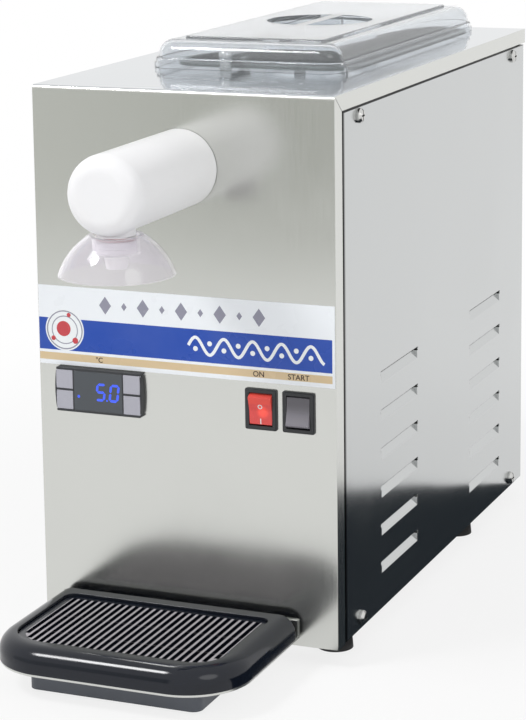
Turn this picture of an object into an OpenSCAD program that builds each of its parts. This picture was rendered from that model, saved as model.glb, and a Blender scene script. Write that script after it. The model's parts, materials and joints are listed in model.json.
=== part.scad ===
// Table-top cream whipper: refrigerated stainless cabinet with a lidded cream container, a gear pump,
// a dispensing head with a bell and nozzle on the front, a controller, two rocker switches and a drip tray.
// Millimetres, +Z up, front towards -Y. Sub-parts are drawn in cabinet coordinates (X = 0 middle, Y = 0 outer
// face of the front, Z = 0 lower edge of the panels). place() moves the origin under the middle of the object.

/* [Cabinet] */
// width over the casing returns
cab_w = 263; // [220:1:305]
// depth from the front to the rear lip
cab_d = 525; // [440:1:610]
// height of the casing without feet
cab_h = 450; // [375:1:520]
// thickness of the stainless sheet
sheet_t = 1; // [0.8:0.1:1.2]
// outside radius of the front top bend
bend_r = 3; // [2:0.5:6]
// depth of the casing return on each side
return_d = 16; // [12:1:20]
// height of the top lip on the sides and rear
lip_h = 13.3; // [11:0.1:14]
// shadow gap under the top lip
lip_gap = 2; // [1:0.5:3]
// width of the mitre seam in the returns
mitre_gap = 0.4; // [0.3:0.1:0.8]
// shadow gap between the casing return and a side panel
side_gap = 1.5; // [0.8:0.1:3]
// how far the side and rear panels lie inside the lip
panel_recess = 1; // [0.5:0.1:1.5]
// outside radius of the front bend of a side panel
side_bend_r = 5; // [3:0.5:7]
// width of the inward flanges of the side panels
flange_w = 12; // [10:0.5:14]

/* [Louvres] */
// length of a louvre slot
slot_l = 97; // [80:1:105]
// height of a louvre slot
slot_h = 10; // [7:0.5:12]
// corner radius of a louvre slot
slot_r = 1.5; // [0.5:0.1:2.5]
// vertical pitch of the louvres
slot_pitch = 33; // [24:1:34]
// louvres in a column
slot_rows = 6; // [4:1:6]
// height of the lowest slot centre
slot_z = 36; // [32:1:40]
// middle of the front column from the front face
slot_y_front = 154.5; // [130:0.5:180]
// middle of the rear column from the rear edge
slot_rear = 125.5; // [105:0.5:155]
// how far a louvre tongue leans in
tongue_in = 3.5; // [2:0.5:5]
// open height above a tongue
tongue_gap = 3; // [2:0.5:4]

/* [Screws and feet] */
// diameter of the pan heads on the side panels
pan_d = 12; // [9:0.5:13]
// height of the pan heads on the side panels
pan_h = 4; // [2.5:0.1:5]
// shank diameter of the side panel screws
pan_shank_d = 5; // [4:0.5:6]
// length of the side panel screws under the head
pan_shank_l = 8; // [6:0.5:10]
// width of the drive slot in the screw heads
screw_slot_w = 1.4; // [0.8:0.1:1.6]
// front screw row from the front face
screw_y_front = 57; // [50:1:64]
// rear screw row from the rear edge
screw_rear = 41; // [35:1:55]
// height of the lower screw row
screw_z_low = 9; // [8:0.5:14]
// drop of the upper screw row from the top edge
screw_drop = 22.3; // [20:0.1:26]
// clearance of a screw shank in its hole
hole_clear = 0.2; // [0.1:0.05:0.3]
// diameter of the small panel screws
small_screw_d = 4; // [3:0.5:4.5]
// head diameter of the small panel screws
small_head_d = 8; // [7:0.5:9]
// head height of the small panel screws
small_head_h = 2.4; // [1.8:0.1:2.6]
// height of a rubber foot
foot_h = 16; // [12:1:25]
// diameter of a rubber foot at the floor
foot_d = 30; // [26:1:34]
// diameter of a rubber foot at the top
foot_top_d = 27; // [24:1:30]
// distance of the feet from the cabinet side
foot_in = 21.5; // [19.5:0.5:36]
// front feet from the front face
foot_y_front = 50; // [40:1:60]
// rear feet from the rear edge
foot_rear = 150; // [55:1:175]

/* [Lid] */
// distance of the rim from the cabinet side
lid_side = 43.5; // [36:0.5:50]
// distance of the rim from the rear edge
lid_rear = 17; // [13:0.5:25]
// front edge of the rim from the front face
lid_y = 128; // [122:1:130]
// height of the lid over the top
lid_h = 26; // [24:0.5:40]
// height of the rim
lid_rim_h = 9; // [8:0.5:11]
// step between the two ridges of the rim
lid_ridge = 1.5; // [1:0.1:2.5]
// plan corner radius of the rim
lid_corner_r = 20; // [18:1:26]
// how far the wall lies inside the rim
lid_inset = 4; // [4:0.5:6]
// rounding between the wall and the top
lid_edge_r = 13.5; // [8:0.5:14]
// how far the plateau lies inside the wall
lid_plateau_in = 20; // [16:0.5:23]
// height of the plateau step
lid_plateau_h = 2; // [1.2:0.1:3]
// wall thickness
lid_t = 2.5; // [2:0.1:3]
// distance of the finger recess from the lid wall
recess_side = 36; // [32:0.5:42]
// how far the finger recess lies in front of the lid middle
recess_off = 7; // [-12:1:18]
// depth of the finger recess
recess_h = 12; // [8:0.5:13]
// width of the bar across the recess
recess_bar_w = 11; // [8:0.5:16]

/* [Container and cooling] */
// gap between the container flange and the lid
cont_rim_gap = 0.8; // [0.5:0.1:1.2]
// plan corner radius of the container
cont_r = 26; // [20:1:30]
// front of the container from the front face
cont_y = 166; // [166:0.5:168]
// depth of the container
cont_h = 60; // [50:1:62]
// wall of the container
cont_t = 1.2; // [1:0.1:2]
// width of the container flange
cont_flange_w = 3.2; // [2.5:0.1:3.4]
// thickness of the container flange
cont_flange_t = 1.5; // [1:0.1:2]
// gap of the container to its opening
cont_gap = 0.6; // [0.4:0.1:0.8]
// gap between container and well
well_gap = 2; // [1.5:0.1:2.4]
// sheet of the cooling well
well_t = 1; // [0.8:0.1:1]
// space between the container floor and the well floor
well_floor_gap = 4.8; // [2:0.1:5]
// width of the well flange under the top
well_flange_w = 10; // [8:0.5:12]
// insulation around the well
foam_t = 20; // [14:1:22]
// depth of the coil space in the insulation
coil_space = 10; // [9.6:0.1:11]
// tube diameter of the evaporator coil
coil_d = 8; // [6:0.5:8.5]
// runs of the evaporator coil
coil_runs = 6; // [4:2:6]

/* [Head, bell and nozzle] */
// diameter of the dispensing head
head_d = 63; // [58:0.5:66]
// length of the head from the front face
head_l = 147; // [143:1:170]
// rounding of the head front edge
head_edge_r = 13; // [8:0.5:14]
// drop of the head axis under the cabinet top
head_drop = 62; // [54:1:64]
// gap between the head and the front panel
head_gap = 0.4; // [0.3:0.1:0.8]
// outlet from the front face
outlet_reach = 120; // [112:1:122]
// outside diameter of the spigot and the outlet stub
spigot_d = 30; // [26:0.5:32]
// passage diameter of the spigot
spigot_bore = 18; // [14:0.5:18]
// length of the spigot out of the front face
spigot_reach = 44; // [36:1:46]
// running clearance of the head on the spigot
run_clear = 0.05; // [0.02:0.01:0.08]
// passage diameter of the outlet stub
outlet_bore = 14; // [10:0.5:14]
// how far the outlet stub hangs under the head
stub_drop = 10.5; // [9.5:0.1:13]
// cord diameter of the seals
seal_cord = 3; // [2.6:0.1:3.2]
// free gap around a seal or the insert
seal_gap = 0.3; // [0.3:0.05:0.4]
// diameter of the bell rim
bell_d = 90; // [80:1:100]
// height of the bell
bell_h = 30.8; // [28:0.1:36]
// top diameter of the bell
bell_top_d = 41.5; // [40:0.5:46]
// how far the bell wall bows out of a straight cone
bell_bow = 3.6; // [2:0.1:5]
// gap between the bell and the head
bell_gap = 0.7; // [0.5:0.1:1.2]
// wall of the bell
bell_t = 2; // [1.6:0.1:2.4]
// length of the star nozzle under its flange
nozzle_l = 13; // [11:0.5:15]
// flange thickness of the star nozzle
nozzle_flange_t = 3; // [2:0.1:3.5]
// outlet diameter over the star tips
nozzle_tip_d = 13; // [10:0.5:14]
// points of the star opening
star_points = 6; // [5:1:8]

/* [Controls] */
// width of the controller front
ctrl_w = 78.6; // [76:0.1:82]
// height of the controller front
ctrl_h = 37; // [34:0.1:38]
// how far the controller stands out
ctrl_proud = 5.5; // [4.5:0.1:7]
// bulge of the controller ends
ctrl_bow = 1.5; // [1:0.1:2]
// width of the controller cut-out
ctrl_cut_w = 71; // [68:0.1:72]
// height of the controller cut-out
ctrl_cut_h = 29; // [27:0.1:30]
// depth of the controller body behind the front
ctrl_body_l = 56; // [45:1:60]
// controller middle from the left side
ctrl_side = 55.6; // [53.5:0.1:59.5]
// drop of the controller middle under the printed strip
ctrl_drop = 19.5; // [19.5:0.5:27.5]
// width of a controller button
button_w = 15; // [12:0.1:15.5]
// height of a controller button
button_h = 15.6; // [13:0.1:16.2]
// bar between the upper and the lower button
button_web = 1.8; // [1:0.1:2.4]
// thickness of a controller button
button_t = 2.6; // [2:0.1:3]
// travel of a controller button
button_travel = 0.6; // [0.4:0.1:0.8]
// gap around a button
button_gap = 0.35; // [0.3:0.05:0.5]
// border of the controller around its buttons
ctrl_border = 1.2; // [1:0.1:1.5]
// thickness of the display lens
lens_t = 1.6; // [1:0.1:2]
// width of a switch frame
sw_w = 27.4; // [26:0.1:29]
// height of a switch frame
sw_h = 33.8; // [32:0.1:36]
// how far a switch frame stands out
sw_proud = 2.4; // [1.8:0.1:3]
// width of a switch body
sw_body_w = 23; // [22.6:0.1:23.6]
// height of a switch body
sw_body_h = 30.4; // [30:0.1:31]
// depth of a switch body
sw_body_l = 28; // [24:1:34]
// width of a rocker
rocker_w = 19.4; // [17:0.1:19.8]
// swing radius of a rocker end
rocker_r = 13.2; // [12:0.1:13.4]
// depth of the rocker pivot behind the front face
rocker_depth = 3; // [2.5:0.1:4]
// tilt of a rocker to each side
rocker_tilt = 9; // [6:1:10]
// diameter of the rocker pivot pins
pivot_d = 3; // [2.4:0.1:3.2]
// ON switch middle from the right side
on_side = 64.3; // [63.5:0.1:67.5]
// START switch middle from the right side
start_side = 32; // [31.5:0.1:33.5]
// drop of the switch middles under the printed strip
sw_drop = 22.2; // [20.5:0.1:27.5]
// drop of the strip's lower edge under the cabinet top
strip_drop = 232.5; // [228:0.5:236]
// height of the printed strip
strip_h = 66.5; // [60:0.5:70]
// thickness of the printed strip
strip_t = 0.4; // [0.3:0.1:0.6]

/* [Drip tray] */
// distance of the tray rim from the cabinet side, if the tray sat in the middle
tray_side = 24.5; // [20:0.5:30]
// middle of the tray from the middle of the cabinet
tray_x = -9; // [-12:0.5:12]
// front of the tray rim from the front face
tray_reach = 152; // [149:1:165]
// gap between the tray rim and the front face
tray_gap = 9.5; // [7:0.1:11]
// height of the tray rim
tray_rim_h = 20; // [18:0.5:24]
// rounding of the tray rim
tray_edge_r = 14; // [8:0.5:15]
// plan corner radius of the tray front
tray_corner_r = 52; // [48:1:56]
// height of the support plate top
tray_z = 8; // [8:0.5:10]
// width of the tray rim beside the grid
grid_side = 16; // [15:0.5:22]
// depth of the grid opening
grid_d = 112; // [108:1:115]
// distance of the grid opening behind the tray front
grid_back = 20; // [18:0.5:22]
// thickness of the grid
grid_t = 5.5; // [4:0.1:6.5]
// gap around the grid
grid_gap = 0.7; // [0.4:0.1:1]
// how far the grid lies under the rim top
grid_sunk = 2.5; // [0.5:0.1:4]
// ledge that carries the grid
ledge_w = 4; // [3:0.5:5]
// pitch of the grid slots
bar_pitch = 6.3; // [6:0.1:8]
// width of a grid slot
bar_slot = 4; // [3:0.1:4.2]
// distance of the drip pan from the grid opening
pan_side = 17; // [12:0.5:20]
// length of the drip pan
pan_l = 104; // [90:1:106]
// gap between the drip pan and the table
pan_clear = 2; // [1:0.5:5]
// wall of the tray
tray_t = 2.5; // [2:0.1:2.8]
// sheet of the tray support
support_t = 2; // [1.5:0.1:2.5]
// height of the support upstand
upstand_h = 14; // [12:0.5:16]

/* [Pump and drive] */
// gear module of the pump
gear_m = 2; // [1.9:0.05:2.1]
// teeth of each pump gear
gear_n = 12; // [12:1:12]
// width of the pump gears
gear_b = 15; // [12:0.5:16]
// tooth play at the pitch circle
gear_play = 0.2; // [0.15:0.05:0.3]
// gap around the gears in the pump
gear_gap = 0.35; // [0.3:0.05:0.5]
// diameter of the pump shafts
shaft_d = 10; // [8:0.5:11]
// drop of the drive axis under the head axis
drive_drop = 82; // [82:1:85]
// width of the pump body
pump_w = 72; // [68:1:80]
// front of the pump body behind the front face
pump_y = 6; // [5.5:0.5:8]
// depth of the pump body
pump_l = 30; // [29:0.5:31]
// thickness of the pump cover
pump_cover_t = 10; // [8:0.5:10.5]
// drilled passages in the pump
port_d = 8; // [6:0.5:9]
// diameter of the gearbox
gearbox_d = 84; // [70:1:84]
// length of the gearbox
gearbox_l = 50; // [40:1:55]
// diameter of the motor
motor_d = 76; // [64:1:78]
// length of the motor
motor_l = 110; // [90:1:112]
// outside diameter of the suction tubes
tube_d = 10; // [9:0.5:11]
// wall of the suction tubes
tube_t = 1; // [0.8:0.1:1.5]

/* [Refrigeration] */
// diameter of the compressor
comp_d = 144; // [120:1:150]
// height of the compressor can
comp_h = 164; // [140:1:170]
// compressor axis from the rear edge
comp_rear = 89; // [85:1:95]
// distance of the condenser from the cabinet side
cond_side = 36.5; // [31.5:0.5:46.5]
// height of the condenser fins
cond_h = 176; // [160:1:180]
// depth of the condenser
cond_l = 44; // [38:1:46]
// front of the condenser ahead of the compressor axis
cond_ahead = 204; // [200:1:206]
// fins of the condenser
fin_count = 15; // [9:2:19]
// diameter of the fan
fan_d = 138; // [120:1:140]
// blades of the fan
blade_count = 5; // [3:1:6]
// pitch angle of the fan blades
blade_pitch = 32; // [22:1:36]
// diameter of the refrigerant pipes
pipe_d = 8; // [6:0.5:9]

/* [Hidden] */
$fn = 72;
eps = 1;
steel = "#b9bcb6";
dark = "#2b2d30";
copper = "#b87348";
white = "#eeeeea";
clear = "#dfe8ea";

// places that follow the cabinet size
slot_y_rear = cab_d - slot_rear;
screw_y_rear = cab_d - screw_rear;
foot_x = cab_w / 2 - foot_in;
foot_y_rear = cab_d - foot_rear;
head_z = cab_h - head_drop;
drive_z = head_z - drive_drop;
strip_z = cab_h - strip_drop;
ctrl_x = cab_w / 2 - ctrl_side;
ctrl_z = strip_z - ctrl_drop;
on_x = cab_w / 2 - on_side;
start_x = cab_w / 2 - start_side;
sw_z = strip_z - sw_drop;
tray_w = cab_w - 2 * tray_side;
grid_w = tray_w - 2 * grid_side;
pan_w = grid_w - 2 * pan_side;
comp_y = cab_d - comp_rear;
cond_w = cab_w - 2 * cond_side;
cond_y = comp_y - cond_ahead;

// cabinet faces
side_xo = cab_w / 2 - panel_recess;
side_xi = side_xo - sheet_t;
side_h = cab_h - lip_h - lip_gap;
side_y = return_d + side_gap;
rear_yo = cab_d - panel_recess;
rear_yi = rear_yo - sheet_t;
base_t = 1.5;
base_z = 1;
base_top = base_z + base_t;
base_flange_h = 22;
tongue_root = 0.6;
cheek_seat = 0.5;
rail_w = 18;
rail_t = 2;
rail_h = 38;
rail_y0 = side_y + side_bend_r;
rail_end = 20.5;
rail_l = rear_yi - rail_y0 - rail_end;
base_l = rear_yi - rail_y0 - 4 * sheet_t;
screw_z_high = cab_h - screw_drop;
rear_screw_in = 30;
rear_screw_z = [rear_screw_in, side_h / 2, side_h - rear_screw_in];
rear_screw_x = side_xi - flange_w / 2;
foot_bore_d = 5.4;
foot_sink_d = 14;
foot_sink_h = 8;
gland_in = 46.5;
gland_x = cab_w / 2 - gland_in;
gland_z = 45;
gland_d = 16;
gland_nut_d = 24;
gland_nut_h = 10;
gland_bore = 9;
rear_slot_in = 61.5;
rear_slot_l = cab_w - 2 * rear_slot_in;
rear_slot_n = 6;
rear_slot_pitch = 22;
rear_slot_z = 90;

// lid, container and well
lid_w = cab_w - 2 * lid_side;
lid_l = cab_d - lid_y - lid_rear;
lid_step = lid_ridge + lid_t + cont_flange_w + cont_rim_gap;
cont_w = lid_w - 2 * lid_step;
cont_l = lid_y + lid_l - lid_step - cont_y;
lid_yc = lid_y + lid_l / 2;
lid_wall_w = lid_w - 2 * lid_inset;
lid_wall_l = lid_l - 2 * lid_inset;
lid_wall_h = lid_h - lid_plateau_h;
lid_wall_r = lid_corner_r - lid_inset;
lid_round_r = min(lid_edge_r, lid_wall_r - lid_ridge);
lid_plateau_r = lid_plateau_h + lid_inset;
lid_low_h = lid_rim_h / 2;
recess_d = lid_wall_w - 2 * recess_side;
recess_y = lid_yc - recess_off;
recess_z = lid_h - recess_h;
cont_yc = cont_y + cont_l / 2;
cont_z = cab_h - cont_h;
well_w = cont_w + 2 * well_gap;
well_l = cont_l + 2 * well_gap;
well_r = cont_r + well_gap;
well_z = cont_z - well_floor_gap;
under_top = cab_h - sheet_t;
well_flange_t = 1.5;
foam_gap = 0.2;
foam_w = well_w + 2 * (well_t + foam_t);
socket_wall = 3;
socket_d = tube_d + 2 * socket_wall;
dip_out = 20;
dip_y0 = cont_y - dip_out;
foam_front_gap = 1.5;
foam_rear = 13;
foam_y0 = dip_y0 + socket_d / 2 + foam_front_gap;
foam_y1 = cont_y + cont_l + well_gap + well_t + foam_rear;
foam_floor = well_z - well_t - coil_space;
foam_z = foam_floor - foam_t;
foam_top = under_top - well_flange_t - foam_gap;
coil_gap = 0.3;
coil_z = well_z - well_t - coil_d / 2 - coil_gap;
coil_side = 14.5;
coil_pitch = (well_w - 2 * coil_side) / (coil_runs - 1);
stub_x = 40;
stub_off = 34;
coil_in = 50;
coil_y0 = cont_y + coil_in;
coil_y1 = comp_y + stub_off;
coil_x0 = coil_side - well_w / 2;

// head, bell and nozzle
spigot_r = spigot_d / 2;
head_bore_r = spigot_r + run_clear;
head_wall = 12;
head_y = -head_l;
outlet_y = -outlet_reach;
head_bottom = head_z - head_d / 2;
stub_z = head_bottom - stub_drop;
groove_w = seal_cord + 0.4;
bell_seal_drop = 3.8;
bell_seal_z = head_bottom - bell_seal_drop;
bell_seal_r = spigot_r + 0.5 - seal_cord / 2;
bell_groove_r = bell_seal_r - seal_cord / 2 - 0.2;
bell_in_r = spigot_r + 0.5 + seal_gap;
bell_top = head_bottom - bell_gap;
bell_rim = bell_top - bell_h;
bell_dx = (bell_d - bell_top_d) / 2;
bell_chord = norm([bell_dx, bell_h]);
bell_arc_r = bell_chord * bell_chord / (8 * bell_bow) + bell_bow / 2;
bell_cx = (bell_d + bell_top_d) / 4 - (bell_arc_r - bell_bow) * bell_h / bell_chord;
bell_cz = (bell_rim + bell_top) / 2 - (bell_arc_r - bell_bow) * bell_dx / bell_chord;
collar_t = 2.5;
nozzle_top = stub_z - 0.3;
nozzle_flange_r = bell_in_r - 0.4;
nozzle_r = 10;
nozzle_t = 1.5;
star_valley = 0.55;
star_rim = 0.5;
star_h = 4;
ledge_t = 2;
ledge_r = nozzle_r + seal_gap;
ledge_z = nozzle_top - nozzle_flange_t;
spigot_seal_y = -30;
spigot_seal_r = spigot_r - run_clear - seal_cord / 2;
spigot_groove_r = spigot_seal_r - seal_cord / 2 - 0.2;
spigot_flange_d = 52;
spigot_flange_t = 4;
panel_hole_d = spigot_d + 2;
insert_y0 = -spigot_reach - 2;
insert_n = 7;
insert_pitch = 8.6;
insert_disc_t = 2.5;
insert_rod_r = 5;
insert_notch = 8;

// controls
bow_r = (ctrl_h * ctrl_h / 4 + ctrl_bow * ctrl_bow) / (2 * ctrl_bow);
cut_clear = 0.2;
lens_w = ctrl_w - 2 * (ctrl_border + button_w) - 4 * button_gap - 1;
lens_h = 2 * button_h + button_web;
button_x = ctrl_w / 2 - ctrl_border - button_w / 2;
button_z = (button_h + button_web) / 2;
pocket_depth = button_t + button_travel + 0.4;
sw_open_w = rocker_w + 0.8;
sw_open_h = 2 * rocker_r + 0.8;
sw_bevel = 0.8;
rocker_front = rocker_depth + sw_proud + 1.6;
rocker_dish = 1.4;
rocker_back = 6;
pivot_out = 1.1;
strip_x0 = -cab_w / 2 + 0.5;
strip_x1 = cab_w / 2 - 1;

// drip tray
tray_top = tray_z + tray_rim_h;
grid_y = -tray_reach + grid_back + grid_d / 2;
grid_r = 10;
grid_front_r = tray_corner_r - 24;
grid_top = tray_top - grid_sunk;
grid_z = grid_top - grid_t;
grid_border = 5;
bar_count = floor((grid_w - 2 * grid_gap - 2 * grid_border + bar_pitch - bar_slot) / bar_pitch);
bar_l = grid_d - 2 * grid_gap - 2 * grid_border;
rib_t = 2;
rib_h = 2.2;
pan_z = pan_clear - foot_h;
pan_r = 8;
support_in = 0.8;
support_gap = 1;
tray_screw_in = 33.5;
tray_screw_drop = 5;
tray_screw_x = tray_w / 2 - tray_screw_in;
tray_screw_z = tray_z + upstand_h - tray_screw_drop;

// pump and drive
gear_rp = gear_m * gear_n / 2;
gear_ro = gear_rp + 0.9 * gear_m;
gear_rr = gear_rp - 1.25 * gear_m;
gear_rb = gear_rp * cos(20);
gear_c = 2 * gear_rp;
driven_z = drive_z + gear_c;
mesh_z = drive_z + gear_rp;
pump_y1 = pump_y + pump_l;
gear_y0 = pump_y1 - gear_b - 0.5;
cover_y1 = pump_y1 + pump_cover_t;
pump_up = 24;
pump_top = head_z + pump_up;
shaft_y0 = gear_y0 - 8;
shaft_gap = 0.5;
inlet_x = -pump_w / 2 + 14;
inlet_y = gear_y0 + gear_b / 2;
outlet_x = port_d / 2 + 3;
shelf_t = 2;
shelf_drop = 48;
shelf_top = drive_z - shelf_drop;
shelf_y0 = side_y + side_bend_r;
shelf_l = 208;
shelf_flange = 15;
bracket_y = cover_y1 + 12;
bracket_t = 4;
bracket_w = 92;
bracket_up = 40;
bracket_foot = 8;
gearbox_y = bracket_y + bracket_t;
coupling_d = 20;
coupling_l = 9;
coupling_y = cover_y1 + 1.5;
shaft_end = coupling_y + coupling_l / 2 - 0.1;
elbow_wall = 1;
elbow_d = tube_d + 2 * elbow_wall;
socket_h = 16;
socket_floor = 3;
dip_in = 20;
dip_y1 = cont_y + dip_in;
dip_up = 11;
dip_z = cab_h + dip_up;
dip_foot = 8;
dip_end = cont_z + dip_foot;
suction_up = 12;
suction_z = pump_top + suction_up;
socket_z = under_top - socket_h;

// refrigeration
cond_end_t = 2;
cond_z = 20;
cond_mid = cond_z + cond_h / 2;
cond_y1 = cond_y + cond_l;
cond_yc = cond_y + cond_l / 2;
cond_rows = 5;
fin_t = 1;
fan_z = cond_mid;
shroud_t = 2;
shroud_ring_r = fan_d / 2 + 4;
shroud_ring_l = 20;
fan_gap = 6;
fan_y = cond_y1 + fan_gap;
fan_hub_d = 36;
fan_hub_l = 16;
blade_w = 28;
blade_t = 1.5;
blade_root = 5;
blade_tip = 3;
fan_shaft_d = 6;
fan_shaft_in = 12;
fan_motor_d = 56;
fan_motor_y = fan_y + fan_hub_l + fan_gap;
fan_motor_l = 38;
post_in = 8;
post_x = cond_w / 2 - post_in;
post_z = 70;
post_d = 10;
arm_w = 12;
arm_t = 3;
arm_y = fan_motor_y - arm_t;
arm_boss_d = 39;
arm_bore = 10;
comp_foot_t = 3;
comp_edge_r = 26;
comp_t = 9;
comp_grommet_h = 19;
comp_z = base_top + comp_grommet_h;
comp_plate_x = 78;
comp_plate_y = 66;
grommet_x = 66;
grommet_y = 54;
grommet_d = 24;
comp_port_z = comp_z + comp_foot_t + comp_h + 12;
pipe_run_z = comp_port_z + 20;
drier_in = 46;
drier_y0 = cond_yc + drier_in;
drier_l = 80;
drier_d = 20;
coil_tail_z = foam_z - 8;

// whole object
front_out = max(tray_reach, outlet_reach + bell_d / 2);
rear_out = rear_yo + gland_nut_h;
frame_y = (front_out - rear_out) / 2;

// moves a sub-part from cabinet coordinates to the object frame
module place() {
    translate([0, frame_y, foot_h]) children();
}

module both_sides() {
    for (s = [0, 1]) mirror([s, 0, 0]) children();
}

module rrect(w, d, r) {
    square([w - 2 * r, d], center = true);
    square([w, d - 2 * r], center = true);
    for (x = [-1, 1], y = [-1, 1]) translate([x * (w / 2 - r), y * (d / 2 - r)]) circle(r);
}

// rounded slab on z = 0
module slab(w, d, h, r) {
    linear_extrude(h) rrect(w, d, r);
}

// section of a slab edge whose top is rounded, from x = 0 outwards
module edge_profile(x, h, re) {
    square([x - re, h]);
    translate([x - re, 0]) square([re, h - re]);
    translate([x - re, h - re]) intersection() {
        circle(re);
        square(re);
    }
}

// slab on z = 0 with plan corner radius rc and a rounded top edge re
module pad(w, d, h, rc, re) {
    translate([-w / 2 + rc, -d / 2 + rc, 0]) cube([w - 2 * rc, d - 2 * rc, h]);
    for (s = [0, 1]) {
        rotate(s * 180) translate([w / 2 - rc, 0, 0]) rotate([90, 0, 0])
            linear_extrude(d - 2 * rc, center = true) edge_profile(rc, h, re);
        rotate(90 + s * 180) translate([d / 2 - rc, 0, 0]) rotate([90, 0, 0])
            linear_extrude(w - 2 * rc, center = true) edge_profile(rc, h, re);
        rotate(s * 180) translate([w / 2 - rc, d / 2 - rc, 0])
            rotate_extrude(angle = 90) edge_profile(rc, h, re);
        rotate(s * 180) translate([w / 2 - rc, rc - d / 2, 0]) rotate(-90)
            rotate_extrude(angle = 90) edge_profile(rc, h, re);
    }
}

// cylinder along +Y from y0
module ycyl(d, l, y0 = 0) {
    translate([0, y0, 0]) rotate([-90, 0, 0]) cylinder(d = d, h = l);
}

// cylinder along +X from x0
module xcyl(d, l, x0 = 0) {
    translate([x0, 0, 0]) rotate([0, 90, 0]) cylinder(d = d, h = l);
}

module ring(r, cord) {
    rotate_extrude() translate([r, 0]) circle(d = cord, $fn = 32);
}

// one straight run of tube between two points that differ along one axis
module run(a, b, d) {
    v = b - a;
    l = norm(v);
    translate(a) rotate([0, acos(v[2] / l), atan2(v[1], v[0])]) cylinder(d = d, h = l, $fn = 32);
}

// tube along points, with a socket elbow at each inner point
module tube(points, d, elbow) {
    for (i = [0 : len(points) - 2]) run(points[i], points[i + 1], d);
    for (i = [1 : 1 : len(points) - 2]) translate(points[i]) sphere(d = elbow, $fn = 32);
}

// pan-head screw along +X, head outwards from x = 0, shank inwards
module pan_screw(head, h, shank, l) {
    difference() {
        union() {
            xcyl(head, h * 0.5);
            translate([h * 0.5, 0, 0]) rotate([0, 90, 0]) cylinder(d1 = head, d2 = head * 0.7, h = h * 0.5);
            xcyl(shank, l, -l);
        }
        translate([h * 0.6, -screw_slot_w / 2, -head / 2]) cube([h, screw_slot_w, head]);
        translate([h * 0.6, -head * 0.27, -screw_slot_w / 2]) cube([h, head * 0.54, screw_slot_w]);
    }
}

// cabinet

module casing_outline() {
    translate([bend_r, 0]) square([cab_d - bend_r, cab_h]);
    square([cab_d, cab_h - bend_r]);
    translate([bend_r, cab_h - bend_r]) circle(bend_r);
}

module casing_section() {
    square([sheet_t, cab_h - bend_r]);
    translate([bend_r, cab_h - sheet_t]) square([cab_d - bend_r, sheet_t]);
    translate([cab_d - sheet_t, cab_h - lip_h]) square([sheet_t, lip_h]);
    translate([bend_r, cab_h - bend_r]) intersection() {
        difference() {
            circle(bend_r);
            circle(bend_r - sheet_t);
        }
        translate([-bend_r, 0]) square(bend_r);
    }
}

module casing_return() {
    difference() {
        intersection() {
            union() {
                square([return_d, cab_h]);
                translate([0, cab_h - lip_h]) square([cab_d, lip_h]);
            }
            casing_outline();
        }
        translate([return_d, cab_h - lip_h]) rotate(atan2(lip_h, -return_d))
            translate([-eps, -mitre_gap / 2]) square([norm([lip_h, return_d]), mitre_gap]);
    }
}

// cut through the front sheet for a body of w x h
module panel_cut(w, h) {
    translate([0, sheet_t / 2, 0])
        cube([w + 2 * cut_clear, sheet_t + 2 * eps, h + 2 * cut_clear], center = true);
}

module casing() {
    color(steel) difference() {
        union() {
            translate([-cab_w / 2, 0, 0]) rotate([90, 0, 90]) linear_extrude(cab_w) casing_section();
            both_sides() translate([cab_w / 2 - sheet_t, 0, 0]) rotate([90, 0, 90])
                linear_extrude(sheet_t) casing_return();
        }
        translate([0, 0, head_z]) ycyl(panel_hole_d, sheet_t + 2 * eps, -eps);
        translate([-ctrl_x, 0, ctrl_z]) panel_cut(ctrl_cut_w, ctrl_cut_h);
        for (x = [on_x, start_x]) translate([x, 0, sw_z]) panel_cut(sw_body_w, sw_body_h);
        for (x = [-1, 1]) translate([tray_x + x * tray_screw_x, 0, tray_screw_z])
            ycyl(small_screw_d + hole_clear, sheet_t + 2 * eps, -eps);
        translate([0, cont_yc, under_top - eps])
            slab(cont_w + 2 * cont_gap, cont_l + 2 * cont_gap, sheet_t + 2 * eps, cont_r + cont_gap);
        translate([inlet_x, dip_y0, under_top - eps]) cylinder(d = elbow_d, h = sheet_t + 2 * eps);
    }
}

module side_screw_spots() {
    for (y = [screw_y_front, screw_y_rear], z = [screw_z_low, screw_z_high]) translate([0, y, z]) children();
}

module slot_spots() {
    for (y = [slot_y_front, slot_y_rear], i = [0 : slot_rows - 1])
        translate([0, y, slot_z + i * slot_pitch]) children();
}

module tongue() {
    z0 = -slot_h / 2;
    z1 = slot_h / 2 - tongue_gap;
    x1 = side_xo - tongue_in;
    rotate([90, 0, 0]) linear_extrude(slot_l - 2 * slot_r, center = true) polygon([
        [side_xo, z0 - tongue_root], [side_xo, z0], [x1, z1], [x1 - sheet_t, z1],
        [side_xi, z0], [side_xi, z0 - tongue_root]]);
    // cheeks that close both ends of the tongue
    for (s = [-1, 1]) translate([0, s * (slot_l - slot_r) / 2, 0]) rotate([90, 0, 0])
        linear_extrude(slot_r + 2 * cheek_seat, center = true) polygon([
            [side_xo, z0 - tongue_root], [side_xo, z1], [x1 - sheet_t, z1],
            [side_xi, z0], [side_xi, z0 - tongue_root]]);
}

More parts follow.
